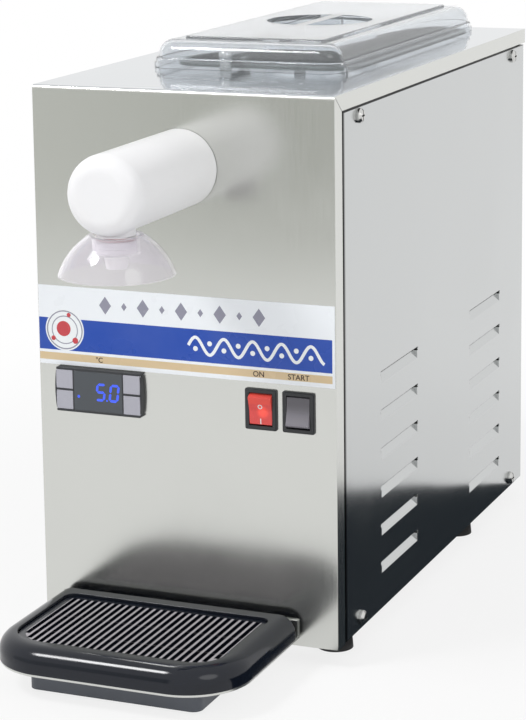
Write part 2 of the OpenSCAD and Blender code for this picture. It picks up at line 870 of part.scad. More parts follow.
module side_panel() {
    color(steel) union() {
        difference() {
            union() {
                translate([side_xi, side_y + side_bend_r, 0])
                    cube([sheet_t, rear_yi - side_y - side_bend_r, side_h]);
                translate([side_xo - side_bend_r, side_y + side_bend_r, 0]) rotate(-90)
                    rotate_extrude(angle = 90) translate([side_bend_r - sheet_t, 0]) square([sheet_t, side_h]);
                translate([side_xo - side_bend_r - flange_w, side_y, 0]) cube([flange_w, sheet_t, side_h]);
                translate([side_xi - flange_w, rear_yi - sheet_t, 0]) cube([flange_w, sheet_t, side_h]);
            }
            side_screw_spots() xcyl(pan_shank_d + 2 * hole_clear, sheet_t + 2 * eps, side_xi - eps);
            slot_spots() translate([side_xi - eps, 0, 0]) rotate([90, 0, 90])
                linear_extrude(sheet_t + 2 * eps) rrect(slot_l, slot_h, slot_r);
            for (z = rear_screw_z) translate([rear_screw_x, 0, z])
                ycyl(small_screw_d + hole_clear, sheet_t + 2 * eps, rear_yi - sheet_t - eps);
        }
        slot_spots() tongue();
    }
}

module left_side_panel() {
    mirror([1, 0, 0]) side_panel();
}

module right_side_panel() {
    side_panel();
}

module rear_panel() {
    color(steel) difference() {
        translate([-side_xi, rear_yi, base_top]) cube([2 * side_xi, sheet_t, side_h - base_top]);
        both_sides() for (z = rear_screw_z) translate([rear_screw_x, 0, z])
            ycyl(small_screw_d + hole_clear, sheet_t + 2 * eps, rear_yi - eps);
        translate([-gland_x, 0, gland_z]) ycyl(gland_d + 2 * hole_clear, sheet_t + 2 * eps, rear_yi - eps);
        for (i = [0 : rear_slot_n - 1]) translate([0, rear_yi - eps, rear_slot_z + i * rear_slot_pitch])
            rotate([-90, 0, 0]) linear_extrude(sheet_t + 2 * eps) rrect(rear_slot_l, slot_h, slot_r);
    }
}

module base_plate() {
    color(steel) difference() {
        union() {
            translate([-side_xi, rail_y0, base_z]) cube([2 * side_xi, base_l, base_t]);
            both_sides() translate([side_xi - base_t, rail_y0, base_top]) cube([base_t, base_l, base_flange_h]);
        }
        both_sides() for (y = [screw_y_front, screw_y_rear]) translate([0, y, screw_z_low])
            xcyl(pan_shank_d + hole_clear, base_t + 2 * eps, side_xi - base_t - eps);
        both_sides() for (y = [foot_y_front, foot_y_rear]) translate([foot_x, y, base_z - eps])
            cylinder(d = small_screw_d + hole_clear, h = base_t + 2 * eps);
    }
}

module top_rails() {
    color(steel) both_sides() difference() {
        union() {
            translate([side_xi - rail_t, rail_y0, under_top - rail_h]) cube([rail_t, rail_l, rail_h]);
            translate([side_xi - rail_w, rail_y0, under_top - rail_t]) cube([rail_w, rail_l, rail_t]);
        }
        for (y = [screw_y_front, screw_y_rear]) translate([0, y, screw_z_high])
            xcyl(pan_shank_d + hole_clear, rail_t + 2 * eps, side_xi - rail_t - eps);
    }
}

module side_panel_screws() {
    color(steel) both_sides() side_screw_spots() translate([side_xo, 0, 0])
        pan_screw(pan_d, pan_h, pan_shank_d, pan_shank_l);
}

module rear_panel_screws() {
    color(steel) both_sides() for (z = rear_screw_z) translate([rear_screw_x, rear_yo, z]) rotate(90)
        pan_screw(small_head_d, small_head_h, small_screw_d, pan_shank_l);
}

module foot_spots() {
    both_sides() for (y = [foot_y_front, foot_y_rear]) translate([foot_x, y, -foot_h]) children();
}

module rubber_feet() {
    color(dark) foot_spots() difference() {
        cylinder(d1 = foot_d, d2 = foot_top_d, h = foot_h + base_z);
        translate([0, 0, -eps]) cylinder(d = foot_sink_d, h = foot_sink_h + eps);
        cylinder(d = foot_bore_d, h = foot_h + base_z + eps);
    }
}

module foot_screws() {
    color(steel) foot_spots() translate([0, 0, foot_sink_h]) rotate([0, 90, 0])
        pan_screw(small_head_d, small_head_h, small_screw_d, foot_h + base_top - foot_sink_h + 3);
}

module cable_gland() {
    color(dark) translate([-gland_x, 0, gland_z]) difference() {
        union() {
            ycyl(gland_nut_d, gland_nut_h, rear_yo, $fn = 6);
            ycyl(gland_d, gland_nut_h, rear_yo - gland_nut_h);
            ycyl(gland_nut_d, gland_nut_h / 2, rear_yi - gland_nut_h / 2, $fn = 6);
        }
        ycyl(gland_bore, 4 * gland_nut_h, rear_yo - 2 * gland_nut_h);
    }
}

// controls

module printed_strip() {
    color("#3d57b0") translate([strip_x0, -strip_t, strip_z]) cube([strip_x1 - strip_x0, strip_t, strip_h]);
}

module ctrl_outline(w, h) {
    intersection() {
        square([w, h], center = true);
        translate([w / 2 - bow_r, 0]) circle(bow_r);
        translate([bow_r - w / 2, 0]) circle(bow_r);
    }
}

module button_outline(grow) {
    intersection() {
        translate([button_x, 0]) square([button_w + 2 * grow, button_h + 2 * grow], center = true);
        translate([ctrl_w / 2 - ctrl_border - bow_r, 0]) circle(bow_r + grow);
    }
}

module at_button(sx, sz) {
    translate([-ctrl_x, -ctrl_proud, ctrl_z + sz * button_z]) mirror([sx < 0 ? 1 : 0, 0, 0])
        rotate([-90, 0, 0]) children();
}

module controller_housing() {
    color("#3a3c3f") difference() {
        union() {
            translate([-ctrl_x, -ctrl_proud, ctrl_z]) rotate([-90, 0, 0])
                linear_extrude(ctrl_proud) ctrl_outline(ctrl_w, ctrl_h);
            translate([-ctrl_x - ctrl_cut_w / 2, 0, ctrl_z - ctrl_cut_h / 2])
                cube([ctrl_cut_w, ctrl_body_l, ctrl_cut_h]);
        }
        for (sx = [-1, 1], sz = [-1, 1]) at_button(sx, sz) translate([0, 0, -eps])
            linear_extrude(pocket_depth + eps) button_outline(button_gap);
        translate([-ctrl_x, -ctrl_proud - eps, ctrl_z]) rotate([-90, 0, 0])
            linear_extrude(lens_t + eps) square([lens_w, lens_h], center = true);
    }
}

module display_lens() {
    color("#15171c") translate([-ctrl_x, -ctrl_proud, ctrl_z]) rotate([-90, 0, 0])
        linear_extrude(lens_t) square([lens_w - 0.1, lens_h - 0.1], center = true);
}

module button(sx, sz) {
    color("#c9cbc9") at_button(sx, sz) linear_extrude(button_t) button_outline(0);
}

module set_button() {
    button(-1, 1);
}

module standby_button() {
    button(-1, -1);
}

module up_button() {
    button(1, 1);
}

module down_button() {
    button(1, -1);
}

module switch_frame(x) {
    translate([x, 0, sw_z]) difference() {
        union() {
            rotate([90, 0, 0]) linear_extrude(sw_proud - sw_bevel) rrect(sw_w, sw_h, 1.5);
            rotate([90, 0, 0]) linear_extrude(sw_proud) rrect(sw_w - 2 * sw_bevel, sw_h - 2 * sw_bevel, 1.2);
            translate([-sw_body_w / 2, 0, -sw_body_h / 2]) cube([sw_body_w, sw_body_l, sw_body_h]);
        }
        translate([-sw_open_w / 2, -sw_proud - eps, -sw_open_h / 2])
            cube([sw_open_w, sw_proud + rocker_depth + rocker_back + 6 + eps, sw_open_h]);
        translate([0, rocker_depth, 0]) xcyl(pivot_d + 2 * run_clear, sw_open_w + 2 * pivot_out + 0.2,
            -sw_open_w / 2 - pivot_out - 0.1);
    }
}

// rocker turned by its tilt about the pivot, upper end out for tilt > 0
module rocker(x, tilt) {
    translate([x, rocker_depth, sw_z]) rotate([tilt, 0, 0]) {
        intersection() {
            xcyl(2 * rocker_r, rocker_w, -rocker_w / 2);
            translate([-rocker_w / 2, 0, 0]) rotate([90, 0, 90]) linear_extrude(rocker_w) polygon([
                [-rocker_front, rocker_r], [rocker_dish - rocker_front, 0], [-rocker_front, -rocker_r],
                [0, -rocker_r], [rocker_back, -rocker_r / 3], [rocker_back, rocker_r / 3], [0, rocker_r]]);
        }
        xcyl(pivot_d, rocker_w + 0.8 + 2 * pivot_out, -rocker_w / 2 - 0.4 - pivot_out);
    }
}

module on_switch_frame() {
    color(dark) switch_frame(on_x);
}

module on_rocker() {
    color("#d0202a") rocker(on_x, rocker_tilt);
}

module start_switch_frame() {
    color(dark) switch_frame(start_x);
}

module start_rocker() {
    color("#1c1d1f") rocker(start_x, -rocker_tilt);
}

// head, bell and nozzle

module outlet_spigot() {
    color(steel) translate([0, 0, head_z]) difference() {
        union() {
            ycyl(spigot_d, spigot_reach + pump_y, -spigot_reach);
            ycyl(spigot_flange_d, spigot_flange_t, pump_y - spigot_flange_t);
        }
        ycyl(spigot_bore, spigot_reach + pump_y + 2 * eps, -spigot_reach - eps);
        translate([0, spigot_seal_y, 0]) difference() {
            ycyl(spigot_d + 2, groove_w, -groove_w / 2);
            ycyl(2 * spigot_groove_r, groove_w, -groove_w / 2);
        }
    }
}

module spigot_seal() {
    color("#c8443c") translate([0, spigot_seal_y, head_z]) rotate([90, 0, 0]) ring(spigot_seal_r, seal_cord);
}

module dispensing_head() {
    color(white) difference() {
        union() {
            translate([0, -head_gap, head_z]) rotate([90, 0, 0]) rotate_extrude()
                edge_profile(head_d / 2, head_l - head_gap, head_edge_r);
            translate([0, outlet_y, stub_z]) cylinder(d = spigot_d, h = head_z - stub_z);
        }
        translate([0, 0, head_z]) ycyl(2 * head_bore_r, head_l - head_wall, head_y + head_wall);
        translate([0, outlet_y, stub_z - eps]) cylinder(d = outlet_bore, h = head_z - stub_z + eps);
        translate([0, outlet_y, bell_seal_z - groove_w / 2]) difference() {
            cylinder(d = spigot_d + 2, h = groove_w);
            cylinder(r = bell_groove_r, h = groove_w);
        }
    }
}

module labyrinth_insert() {
    color(white) translate([0, 0, head_z]) difference() {
        union() {
            ycyl(2 * insert_rod_r, (insert_n - 1) * insert_pitch, insert_y0 - (insert_n - 1) * insert_pitch);
            for (i = [0 : insert_n - 1]) ycyl(2 * (head_bore_r - seal_gap), insert_disc_t,
                insert_y0 - insert_disc_t - i * insert_pitch);
        }
        for (i = [0 : insert_n - 1]) translate([0, insert_y0 - insert_disc_t / 2 - i * insert_pitch, 0])
            rotate([0, i % 2 * 180, 0]) translate([0, 0, insert_rod_r + eps + spigot_r / 2])
            cube([insert_notch, insert_disc_t + 2 * eps, spigot_r], center = true);
    }
}

module bell_seal() {
    color("#c8303a") translate([0, outlet_y, bell_seal_z]) ring(bell_seal_r, seal_cord);
}

module bell_wall(r) {
    intersection() {
        translate([bell_cx, bell_cz]) circle(r);
        translate([0, bell_rim]) square([bell_d, bell_h]);
    }
}

module bell() {
    color(clear) translate([0, outlet_y, 0]) rotate_extrude() {
        difference() {
            bell_wall(bell_arc_r);
            intersection() {
                bell_wall(bell_arc_r - bell_t);
                translate([0, bell_rim - eps]) square([bell_d, bell_h - bell_t + eps]);
            }
            translate([0, bell_rim - eps]) square([bell_in_r, bell_h + 2 * eps]);
        }
        translate([bell_in_r, ledge_z - ledge_t]) square([collar_t, bell_top - ledge_z]);
        translate([ledge_r, ledge_z - ledge_t]) square([bell_in_r - ledge_r + eps, ledge_t]);
    }
}

module star() {
    n = 2 * star_points;
    r = nozzle_tip_d / 2 - star_rim;
    polygon([for (i = [0 : n - 1]) polar(i % 2 == 0 ? r : r * star_valley, i * 360 / n)]);
}

module star_nozzle() {
    color(white) translate([0, outlet_y, 0]) difference() {
        rotate_extrude() polygon([[0, nozzle_top], [nozzle_flange_r, nozzle_top], [nozzle_flange_r, ledge_z],
            [nozzle_r, ledge_z], [nozzle_r, ledge_z - ledge_t - eps],
            [nozzle_tip_d / 2 + nozzle_t, ledge_z - nozzle_l], [0, ledge_z - nozzle_l]]);
        translate([0, 0, ledge_z - nozzle_l + star_h])
            cylinder(d1 = nozzle_tip_d, d2 = outlet_bore, h = nozzle_l);
        translate([0, 0, ledge_z - nozzle_l - eps]) linear_extrude(star_h + 2 * eps) star();
    }
}

// lid, container and cooling

module lid_body() {
    slab(lid_w, lid_l, lid_low_h, lid_corner_r);
    pad(lid_w - 2 * lid_ridge, lid_l - 2 * lid_ridge, lid_rim_h, lid_corner_r - lid_ridge, lid_ridge);
    pad(lid_wall_w, lid_wall_l, lid_wall_h, lid_wall_r, lid_round_r);
    pad(lid_wall_w - 2 * lid_plateau_in, lid_wall_l - 2 * lid_plateau_in, lid_h, lid_plateau_r,
        lid_plateau_h * 0.8);
}

module lid_hollow() {
    translate([0, 0, -eps]) slab(lid_w - 2 * (lid_ridge + lid_t), lid_l - 2 * (lid_ridge + lid_t),
        lid_rim_h - lid_t + eps, lid_corner_r - lid_ridge - lid_t);
    translate([0, 0, -eps]) pad(lid_wall_w - 2 * lid_t, lid_wall_l - 2 * lid_t, lid_wall_h - lid_t + eps,
        lid_wall_r - lid_t, lid_round_r - lid_t);
}

module lid() {
    color(clear) translate([0, lid_yc, cab_h]) difference() {
        lid_body();
        difference() {
            lid_hollow();
            translate([0, recess_y - lid_yc, recess_z - lid_t]) cylinder(d = recess_d + 2 * lid_t, h = lid_h);
        }
        translate([0, recess_y - lid_yc, recess_z]) difference() {
            cylinder(d = recess_d, h = lid_h);
            translate([-recess_bar_w / 2, -recess_d, -eps]) cube([recess_bar_w, 2 * recess_d, lid_h]);
        }
    }
}

module cream_container() {
    color(steel) translate([0, cont_yc, 0]) difference() {
        union() {
            translate([0, 0, cont_z]) slab(cont_w, cont_l, cont_h + cont_flange_t, cont_r);
            translate([0, 0, cab_h]) slab(cont_w + 2 * cont_flange_w, cont_l + 2 * cont_flange_w,
                cont_flange_t, cont_r + cont_flange_w);
        }
        translate([0, 0, cont_z + cont_t])
            slab(cont_w - 2 * cont_t, cont_l - 2 * cont_t, cont_h + cont_flange_t, cont_r - cont_t);
    }
}

module dip_tube() {
    pts = [[inlet_x, dip_y0, socket_z + socket_floor + eps], [inlet_x, dip_y0, dip_z], [inlet_x, dip_y1, dip_z],
        [inlet_x, dip_y1, dip_end]];
    color(steel) difference() {
        tube(pts, tube_d, elbow_d);
        run(pts[3] - [0, 0, eps], pts[2], tube_d - 2 * tube_t);
        run(pts[0] - [0, 0, eps], pts[1], tube_d - 2 * tube_t);
        run(pts[1], pts[2], tube_d - 2 * tube_t);
    }
}

module suction_pipe() {
    pts = [[inlet_x, inlet_y, pump_top], [inlet_x, inlet_y, suction_z], [inlet_x, dip_y0, suction_z],
        [inlet_x, dip_y0, socket_z]];
    color(steel) difference() {
        union() {
            tube(pts, tube_d, elbow_d);
            translate([inlet_x, dip_y0, socket_z]) cylinder(d = socket_d, h = socket_h);
        }
        translate([inlet_x, dip_y0, socket_z + socket_floor])
            cylinder(d = tube_d + 2 * run_clear, h = socket_h);
        run(pts[0] - [0, 0, eps], pts[1], tube_d - 2 * tube_t);
        run(pts[1], pts[2], tube_d - 2 * tube_t);
        run(pts[2], pts[3] + [0, 0, socket_floor + eps], tube_d - 2 * tube_t);
    }
}

module cooling_well() {
    color(steel) translate([0, cont_yc, 0]) difference() {
        union() {
            translate([0, 0, well_z - well_t])
                slab(well_w + 2 * well_t, well_l + 2 * well_t, under_top - well_z + well_t, well_r + well_t);
            translate([0, 0, under_top - well_flange_t]) slab(well_w + 2 * well_flange_w,
                well_l + 2 * well_flange_w, well_flange_t, well_r + well_flange_w);
        }
        translate([0, 0, well_z]) slab(well_w, well_l, under_top, well_r);
    }
}

module well_insulation() {
    wall = foam_gap + well_t;
    color("#e8e2c8") difference() {
        translate([-foam_w / 2, foam_y0, foam_z]) cube([foam_w, foam_y1 - foam_y0, foam_top - foam_z]);
        translate([0, cont_yc, foam_floor])
            slab(well_w + 2 * wall, well_l + 2 * wall, cab_h, well_r + wall);
        for (x = [coil_x0, -coil_x0]) translate([x, coil_y1, foam_z - eps])
            cylinder(d = coil_d + 2, h = foam_t + 2 * eps);
    }
}

// serpentine under the well floor with both tails led down through the insulation
module evaporator_coil() {
    n = coil_runs;
    color(copper) {
        for (i = [0 : n - 1]) run([coil_x0 + i * coil_pitch, coil_y0, coil_z],
            [coil_x0 + i * coil_pitch, coil_y1, coil_z], coil_d);
        for (i = [0 : n - 2]) {
            front = i % 2 == 0;
            translate([coil_x0 + (i + 0.5) * coil_pitch, front ? coil_y0 : coil_y1, coil_z])
                rotate(front ? 180 : 0) rotate_extrude(angle = 180)
                translate([coil_pitch / 2, 0]) circle(d = coil_d, $fn = 32);
        }
        for (x = [coil_x0, -coil_x0]) run([x, coil_y1, coil_tail_z], [x, coil_y1, coil_z], coil_d - 1);
    }
}

// pump and drive

// angle from the middle of a tooth to its flank at radius r
function involute(a) = tan(a) * 180 / PI - a;
function flank(r) = 90 / gear_n - gear_play * 90 / (PI * gear_rp) + involute(20)
    - involute(acos(min(1, gear_rb / r)));
function polar(r, a) = r * [cos(a), sin(a)];

module gear_outline(phase) {
    steps = 5;
    radii = [for (i = [0 : steps]) gear_rb + (gear_ro - gear_rb) * i / steps];
    polygon([for (k = [0 : gear_n - 1]) let (a = phase + k * 360 / gear_n) each concat(
        [polar(gear_rr, a - flank(gear_rb))],
        [for (i = [0 : steps]) polar(radii[i], a - flank(radii[i]))],
        [for (i = [steps : -1 : 0]) polar(radii[i], a + flank(radii[i]))],
        [polar(gear_rr, a + flank(gear_rb))])]);
}

module pump_gear(z, phase) {
    translate([0, gear_y0, z]) rotate([-90, 0, 0]) linear_extrude(gear_b) gear_outline(phase);
}

module pump_body() {
    color(steel) difference() {
        translate([-pump_w / 2, pump_y, shelf_top]) cube([pump_w, pump_l, pump_top - shelf_top]);
        for (z = [drive_z, driven_z]) translate([0, 0, z]) {
            ycyl(2 * (gear_ro + gear_gap), pump_l, gear_y0 - shaft_gap);
            ycyl(shaft_d + 2 * run_clear, pump_l, shaft_y0 - shaft_gap);
        }
        translate([0, inlet_y, mesh_z]) xcyl(port_d, pump_w / 2, -pump_w / 2 - eps);
        translate([inlet_x, inlet_y, mesh_z]) cylinder(d = port_d, h = pump_top);
        translate([0, inlet_y, mesh_z]) xcyl(port_d, outlet_x + port_d / 2);
        translate([outlet_x, inlet_y, mesh_z]) cylinder(d = port_d, h = head_z - mesh_z);
        translate([0, 0, head_z]) ycyl(spigot_bore, inlet_y - pump_y + port_d / 2 + eps, pump_y - eps);
    }
}

module pump_cover() {
    color(steel) difference() {
        translate([-pump_w / 2, pump_y1, shelf_top]) cube([pump_w, pump_cover_t, driven_z + 24 - shelf_top]);
        translate([0, 0, drive_z]) ycyl(shaft_d + 2 * run_clear, pump_cover_t + 2 * eps, pump_y1 - eps);
        translate([0, 0, driven_z]) ycyl(shaft_d + 2 * run_clear, pump_cover_t - 2, pump_y1 - eps);
    }
}

module drive_gear() {
    color(steel) {
        pump_gear(drive_z, 90);
        translate([0, 0, drive_z]) ycyl(shaft_d, shaft_end - shaft_y0, shaft_y0);
    }
}

module driven_gear() {
    color(steel) {
        pump_gear(driven_z, 90 + 180 / gear_n);
        translate([0, 0, driven_z]) ycyl(shaft_d, pump_y1 + pump_cover_t - 4 - shaft_y0, shaft_y0);
    }
}

module drive_coupling() {
    color(dark) translate([0, 0, drive_z]) difference() {
        ycyl(coupling_d, coupling_l, coupling_y);
        ycyl(shaft_d, coupling_l + 2 * eps, coupling_y - eps);
    }
}

module motor_shaft() {
    color(steel) translate([0, 0, drive_z]) ycyl(shaft_d, gearbox_y + 20 - shaft_end - 0.2, shaft_end + 0.2);
}

module gear_motor() {
    color("#6c7074") translate([0, 0, drive_z]) difference() {
        union() {
            ycyl(gearbox_d, gearbox_l, gearbox_y);
            ycyl(motor_d, motor_l, gearbox_y + gearbox_l);
            ycyl(motor_d * 0.6, 6, gearbox_y + gearbox_l + motor_l);
        }
        ycyl(shaft_d + 2 * run_clear, 21, gearbox_y - eps);
    }
}

module motor_bracket() {
    color(steel) difference() {
        union() {
            translate([-bracket_w / 2, bracket_y, shelf_top])
                cube([bracket_w, bracket_t, drive_z + bracket_up - shelf_top]);
            translate([-bracket_w / 2, bracket_y - bracket_foot, shelf_top])
                cube([bracket_w, bracket_foot, bracket_t]);
        }
        translate([0, 0, drive_z]) ycyl(coupling_d + 4, bracket_t + 2 * eps, bracket_y - eps);
    }
}

module motor_shelf() {
    color(steel) {
        translate([-side_xi, shelf_y0, shelf_top - shelf_t]) cube([2 * side_xi, shelf_l, shelf_t]);
        both_sides() translate([side_xi - shelf_t, shelf_y0, shelf_top - shelf_flange])
            cube([shelf_t, shelf_l, shelf_flange - shelf_t]);
    }
}

// refrigeration

module comp_ports() {
    for (s = [-1, 1]) translate([stub_x, comp_y + s * stub_off, 0]) children();
}

module compressor() {
    z1 = comp_z + comp_foot_t;
    color("#1d1e20") {
        translate([0, comp_y, z1]) rotate_extrude() difference() {
            edge_profile(comp_d / 2, comp_h, comp_edge_r);
            translate([0, comp_t]) edge_profile(comp_d / 2 - comp_t, comp_h - 2 * comp_t, comp_edge_r - comp_t);
        }
        translate([-comp_plate_x, comp_y - comp_plate_y, comp_z])
            cube([2 * comp_plate_x, 2 * comp_plate_y, comp_foot_t]);
        comp_ports() translate([0, 0, z1 + comp_h - comp_t / 2])
            cylinder(d = pipe_d + 2, h = comp_port_z - z1 - comp_h + comp_t / 2);
    }
}

module compressor_grommets() {
    color(dark) for (x = [-1, 1], y = [-1, 1]) translate([x * grommet_x, comp_y + y * grommet_y, base_top])
        cylinder(d = grommet_d, h = comp_grommet_h);
}

module condenser() {
    color("#a9adaf") {
        both_sides() translate([cond_w / 2, cond_y, base_top])
            cube([cond_end_t, cond_l, cond_z + cond_h - base_top]);
        for (i = [1 : fin_count]) translate([cond_w * (i / (fin_count + 1) - 0.5) - fin_t / 2, cond_y, cond_z])
            cube([fin_t, cond_l, cond_h]);
        for (i = [0 : cond_rows - 1]) translate([0, cond_yc, cond_z + (i + 0.5) * cond_h / cond_rows])
            xcyl(12, cond_w + 2, -cond_w / 2 - 1);
        for (x = [-stub_x, stub_x]) translate([x, cond_yc, cond_z + cond_h - cond_h / cond_rows / 2])
            cylinder(d = pipe_d + 2, h = cond_h / cond_rows / 2 + 8);
    }
}

module fan_shroud() {
    w = cond_w + 2 * cond_end_t;
    color(dark) translate([0, cond_y1, 0]) difference() {
        union() {
            translate([-w / 2, 0, base_top]) cube([w, shroud_t, cond_z + cond_h - base_top]);
            translate([0, 0, fan_z]) ycyl(2 * shroud_ring_r + 4, shroud_ring_l);
        }
        translate([0, 0, fan_z]) ycyl(2 * shroud_ring_r, shroud_ring_l + 2 * eps, -eps);
    }
}

module fan_bracket() {
    color(steel) difference() {
        union() {
            for (x = [-1, 1], z = [-1, 1]) translate([x * post_x, 0, fan_z + z * post_z])
                ycyl(post_d, arm_y - cond_y1 - shroud_t, cond_y1 + shroud_t);
            for (s = [-1, 1]) translate([0, arm_y + arm_t / 2, fan_z])
                rotate([0, s * atan2(post_z, post_x), 0])
                cube([2 * norm([post_x, post_z]) + arm_w, arm_t, arm_w], center = true);
            translate([0, 0, fan_z]) ycyl(arm_boss_d, arm_t, arm_y);
        }
        translate([0, 0, fan_z]) ycyl(arm_bore, arm_t + 2 * eps, arm_y - eps);
    }
}

module fan_motor() {
    color("#5b5f63") translate([0, 0, fan_z]) difference() {
        ycyl(fan_motor_d, fan_motor_l, fan_motor_y);
        ycyl(fan_shaft_d + 2 * run_clear, fan_shaft_in + eps, fan_motor_y - eps);
    }
}

module fan_blade() {
    color("#8f9396") translate([0, fan_y, fan_z]) {
        ycyl(fan_hub_d, fan_hub_l);
        ycyl(fan_shaft_d, fan_motor_y + fan_shaft_in - fan_y - 1);
        for (i = [0 : blade_count - 1]) rotate([0, i * 360 / blade_count, 0])
            translate([0, fan_hub_l / 2, 0]) rotate([0, 0, blade_pitch])
            translate([-blade_w / 2, -blade_t / 2, fan_hub_d / 2 - blade_root])
            cube([blade_w, blade_t, fan_d / 2 - blade_tip - fan_hub_d / 2 + blade_root]);
    }
}

module filter_drier() {
    color(copper) translate([-stub_x, 0, pipe_run_z]) ycyl(drier_d, drier_l, drier_y0);
}

module refrigerant_pipes() {
    port_top = cond_z + cond_h + 8;
    color(copper) {
        tube([[stub_x, comp_y - stub_off, comp_port_z], [stub_x, comp_y - stub_off, pipe_run_z],
            [stub_x, cond_yc, pipe_run_z], [stub_x, cond_yc, port_top]], pipe_d, pipe_d + 2);
        tube([[-stub_x, cond_yc, port_top], [-stub_x, cond_yc, pipe_run_z], [-stub_x, drier_y0, pipe_run_z]],
            pipe_d, pipe_d + 2);
        tube([[-stub_x, drier_y0 + drier_l, pipe_run_z], [-stub_x, coil_y1, pipe_run_z],
            [coil_x0, coil_y1, pipe_run_z], [coil_x0, coil_y1, coil_tail_z]], pipe_d, pipe_d + 2);
        tube([[-coil_x0, coil_y1, coil_tail_z], [-coil_x0, coil_y1, pipe_run_z],
            [stub_x, coil_y1, pipe_run_z], [stub_x, coil_y1, comp_port_z]], pipe_d, pipe_d + 2);
    }
}

// drip tray

module tray_pad(w, reach, h, rc, re) {
    l = 2 * reach;
    difference() {
        pad(w, l, h, rc, re);
        translate([-w, -tray_gap, -eps]) cube([2 * w, l, h + 2 * eps]);
    }
}

// plan of the grid, with wider corners at the front
module grid_plan(w, d, front, rear) {
    translate([-w / 2, front - d / 2]) square([w, d - front - rear]);
    translate([front - w / 2, -d / 2]) square([w - 2 * front, front]);
    translate([rear - w / 2, d / 2 - rear]) square([w - 2 * rear, rear]);
    for (s = [-1, 1]) {
        translate([s * (w / 2 - front), front - d / 2]) circle(front);
        translate([s * (w / 2 - rear), d / 2 - rear]) circle(rear);
    }
}

module tray_support() {
    w = tray_w - 2 * support_in;
    color(steel) translate([tray_x, 0, 0]) difference() {
        union() {
            translate([0, 0, tray_z - support_t]) difference() {
                slab(w, 2 * (tray_reach - support_in), support_t, tray_corner_r - support_in);
                translate([-w, 0, -eps]) cube([2 * w, tray_reach, support_t + 2 * eps]);
            }
            translate([-w / 2, -support_t, tray_z - support_t]) cube([w, support_t, upstand_h + support_t]);
        }
        translate([0, grid_y, tray_z - support_t - eps])
            slab(pan_w + 2 * support_gap, pan_l + 2 * support_gap, support_t + 2 * eps, pan_r + support_gap);
        for (x = [-1, 1]) translate([x * tray_screw_x, 0, tray_screw_z])
            ycyl(small_screw_d + hole_clear, support_t + 2 * eps, -support_t - eps);
    }
}

module tray_support_screws() {
    color(steel) for (x = [-1, 1])
        translate([tray_x + x * tray_screw_x, -support_t, tray_screw_z]) rotate(-90)
            pan_screw(small_head_d, small_head_h, small_screw_d, pan_shank_l);
}

module drip_tray() {
    color("#17181d") translate([tray_x, 0, 0]) difference() {
        union() {
            translate([0, 0, tray_z]) tray_pad(tray_w, tray_reach, tray_rim_h, tray_corner_r, tray_edge_r);
            translate([0, grid_y, pan_z]) slab(pan_w, pan_l, tray_z - pan_z + eps, pan_r);
        }
        translate([0, grid_y, grid_z]) linear_extrude(tray_rim_h)
            grid_plan(grid_w, grid_d, grid_front_r, grid_r);
        translate([0, grid_y, tray_z + tray_t]) linear_extrude(tray_rim_h)
            grid_plan(grid_w - 2 * ledge_w, grid_d - 2 * ledge_w, grid_front_r - ledge_w, grid_r - ledge_w / 2);
        translate([0, grid_y, pan_z + tray_t])
            slab(pan_w - 2 * tray_t, pan_l - 2 * tray_t, tray_top - pan_z, pan_r - tray_t);
    }
}

// where a slot that reaches out to x starts behind a rounded front corner
function bar_start(x, half, r) = x > half - r ? r - sqrt(max(0, r * r - pow(x - half + r, 2))) : 0;

module tray_grid() {
    w = grid_w - 2 * grid_gap;
    d = grid_d - 2 * grid_gap;
    front = grid_front_r - grid_gap;
    color("#1b1c20") translate([tray_x, grid_y, grid_z]) {
        linear_extrude(grid_t) difference() {
            grid_plan(w, d, front, grid_r - grid_gap);
            for (i = [0 : bar_count - 1]) {
                x = (i - (bar_count - 1) / 2) * bar_pitch;
                y = bar_start(abs(x) + bar_slot / 2, w / 2 - grid_border, front - grid_border);
                translate([x - bar_slot / 2, y - bar_l / 2]) square([bar_slot, bar_l - y]);
            }
        }
        for (y = [-1, 1]) translate([-w / 2 + grid_border, y * d / 6 - rib_t / 2, 0])
            cube([w - 2 * grid_border, rib_t, rib_h]);
    }
}

place() casing();
place() left_side_panel();
place() right_side_panel();
place() rear_panel();
place() base_plate();
place() top_rails();
place() side_panel_screws();
place() rear_panel_screws();
place() rubber_feet();
place() foot_screws();
place() cable_gland();
place() printed_strip();
place() controller_housing();
place() display_lens();
place() set_button();
place() standby_button();
place() up_button();
place() down_button();
place() on_switch_frame();
place() on_rocker();
place() start_switch_frame();
place() start_rocker();
place() outlet_spigot();
place() spigot_seal();
place() dispensing_head();
place() labyrinth_insert();
place() bell_seal();
place() bell();
place() star_nozzle();
place() lid();
place() cream_container();
place() dip_tube();
place() suction_pipe();
place() cooling_well();
place() well_insulation();
place() evaporator_coil();
place() pump_body();
place() pump_cover();
place() drive_gear();
place() driven_gear();
place() drive_coupling();
place() motor_shaft();
place() gear_motor();
place() motor_bracket();
place() motor_shelf();
place() compressor();
place() compressor_grommets();
place() condenser();
place() fan_shroud();
place() fan_bracket();
place() fan_motor();
place() fan_blade();
place() filter_drier();
place() refrigerant_pipes();
place() tray_support();
place() tray_support_screws();
place() drip_tray();
place() tray_grid();
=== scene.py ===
"""Finishes, print, display and stage for a counter-top cream whipping machine."""

import json
import math

import bmesh
import bpy
from bpy.props import FloatProperty, FloatVectorProperty, PointerProperty
from mathutils import Matrix, Vector


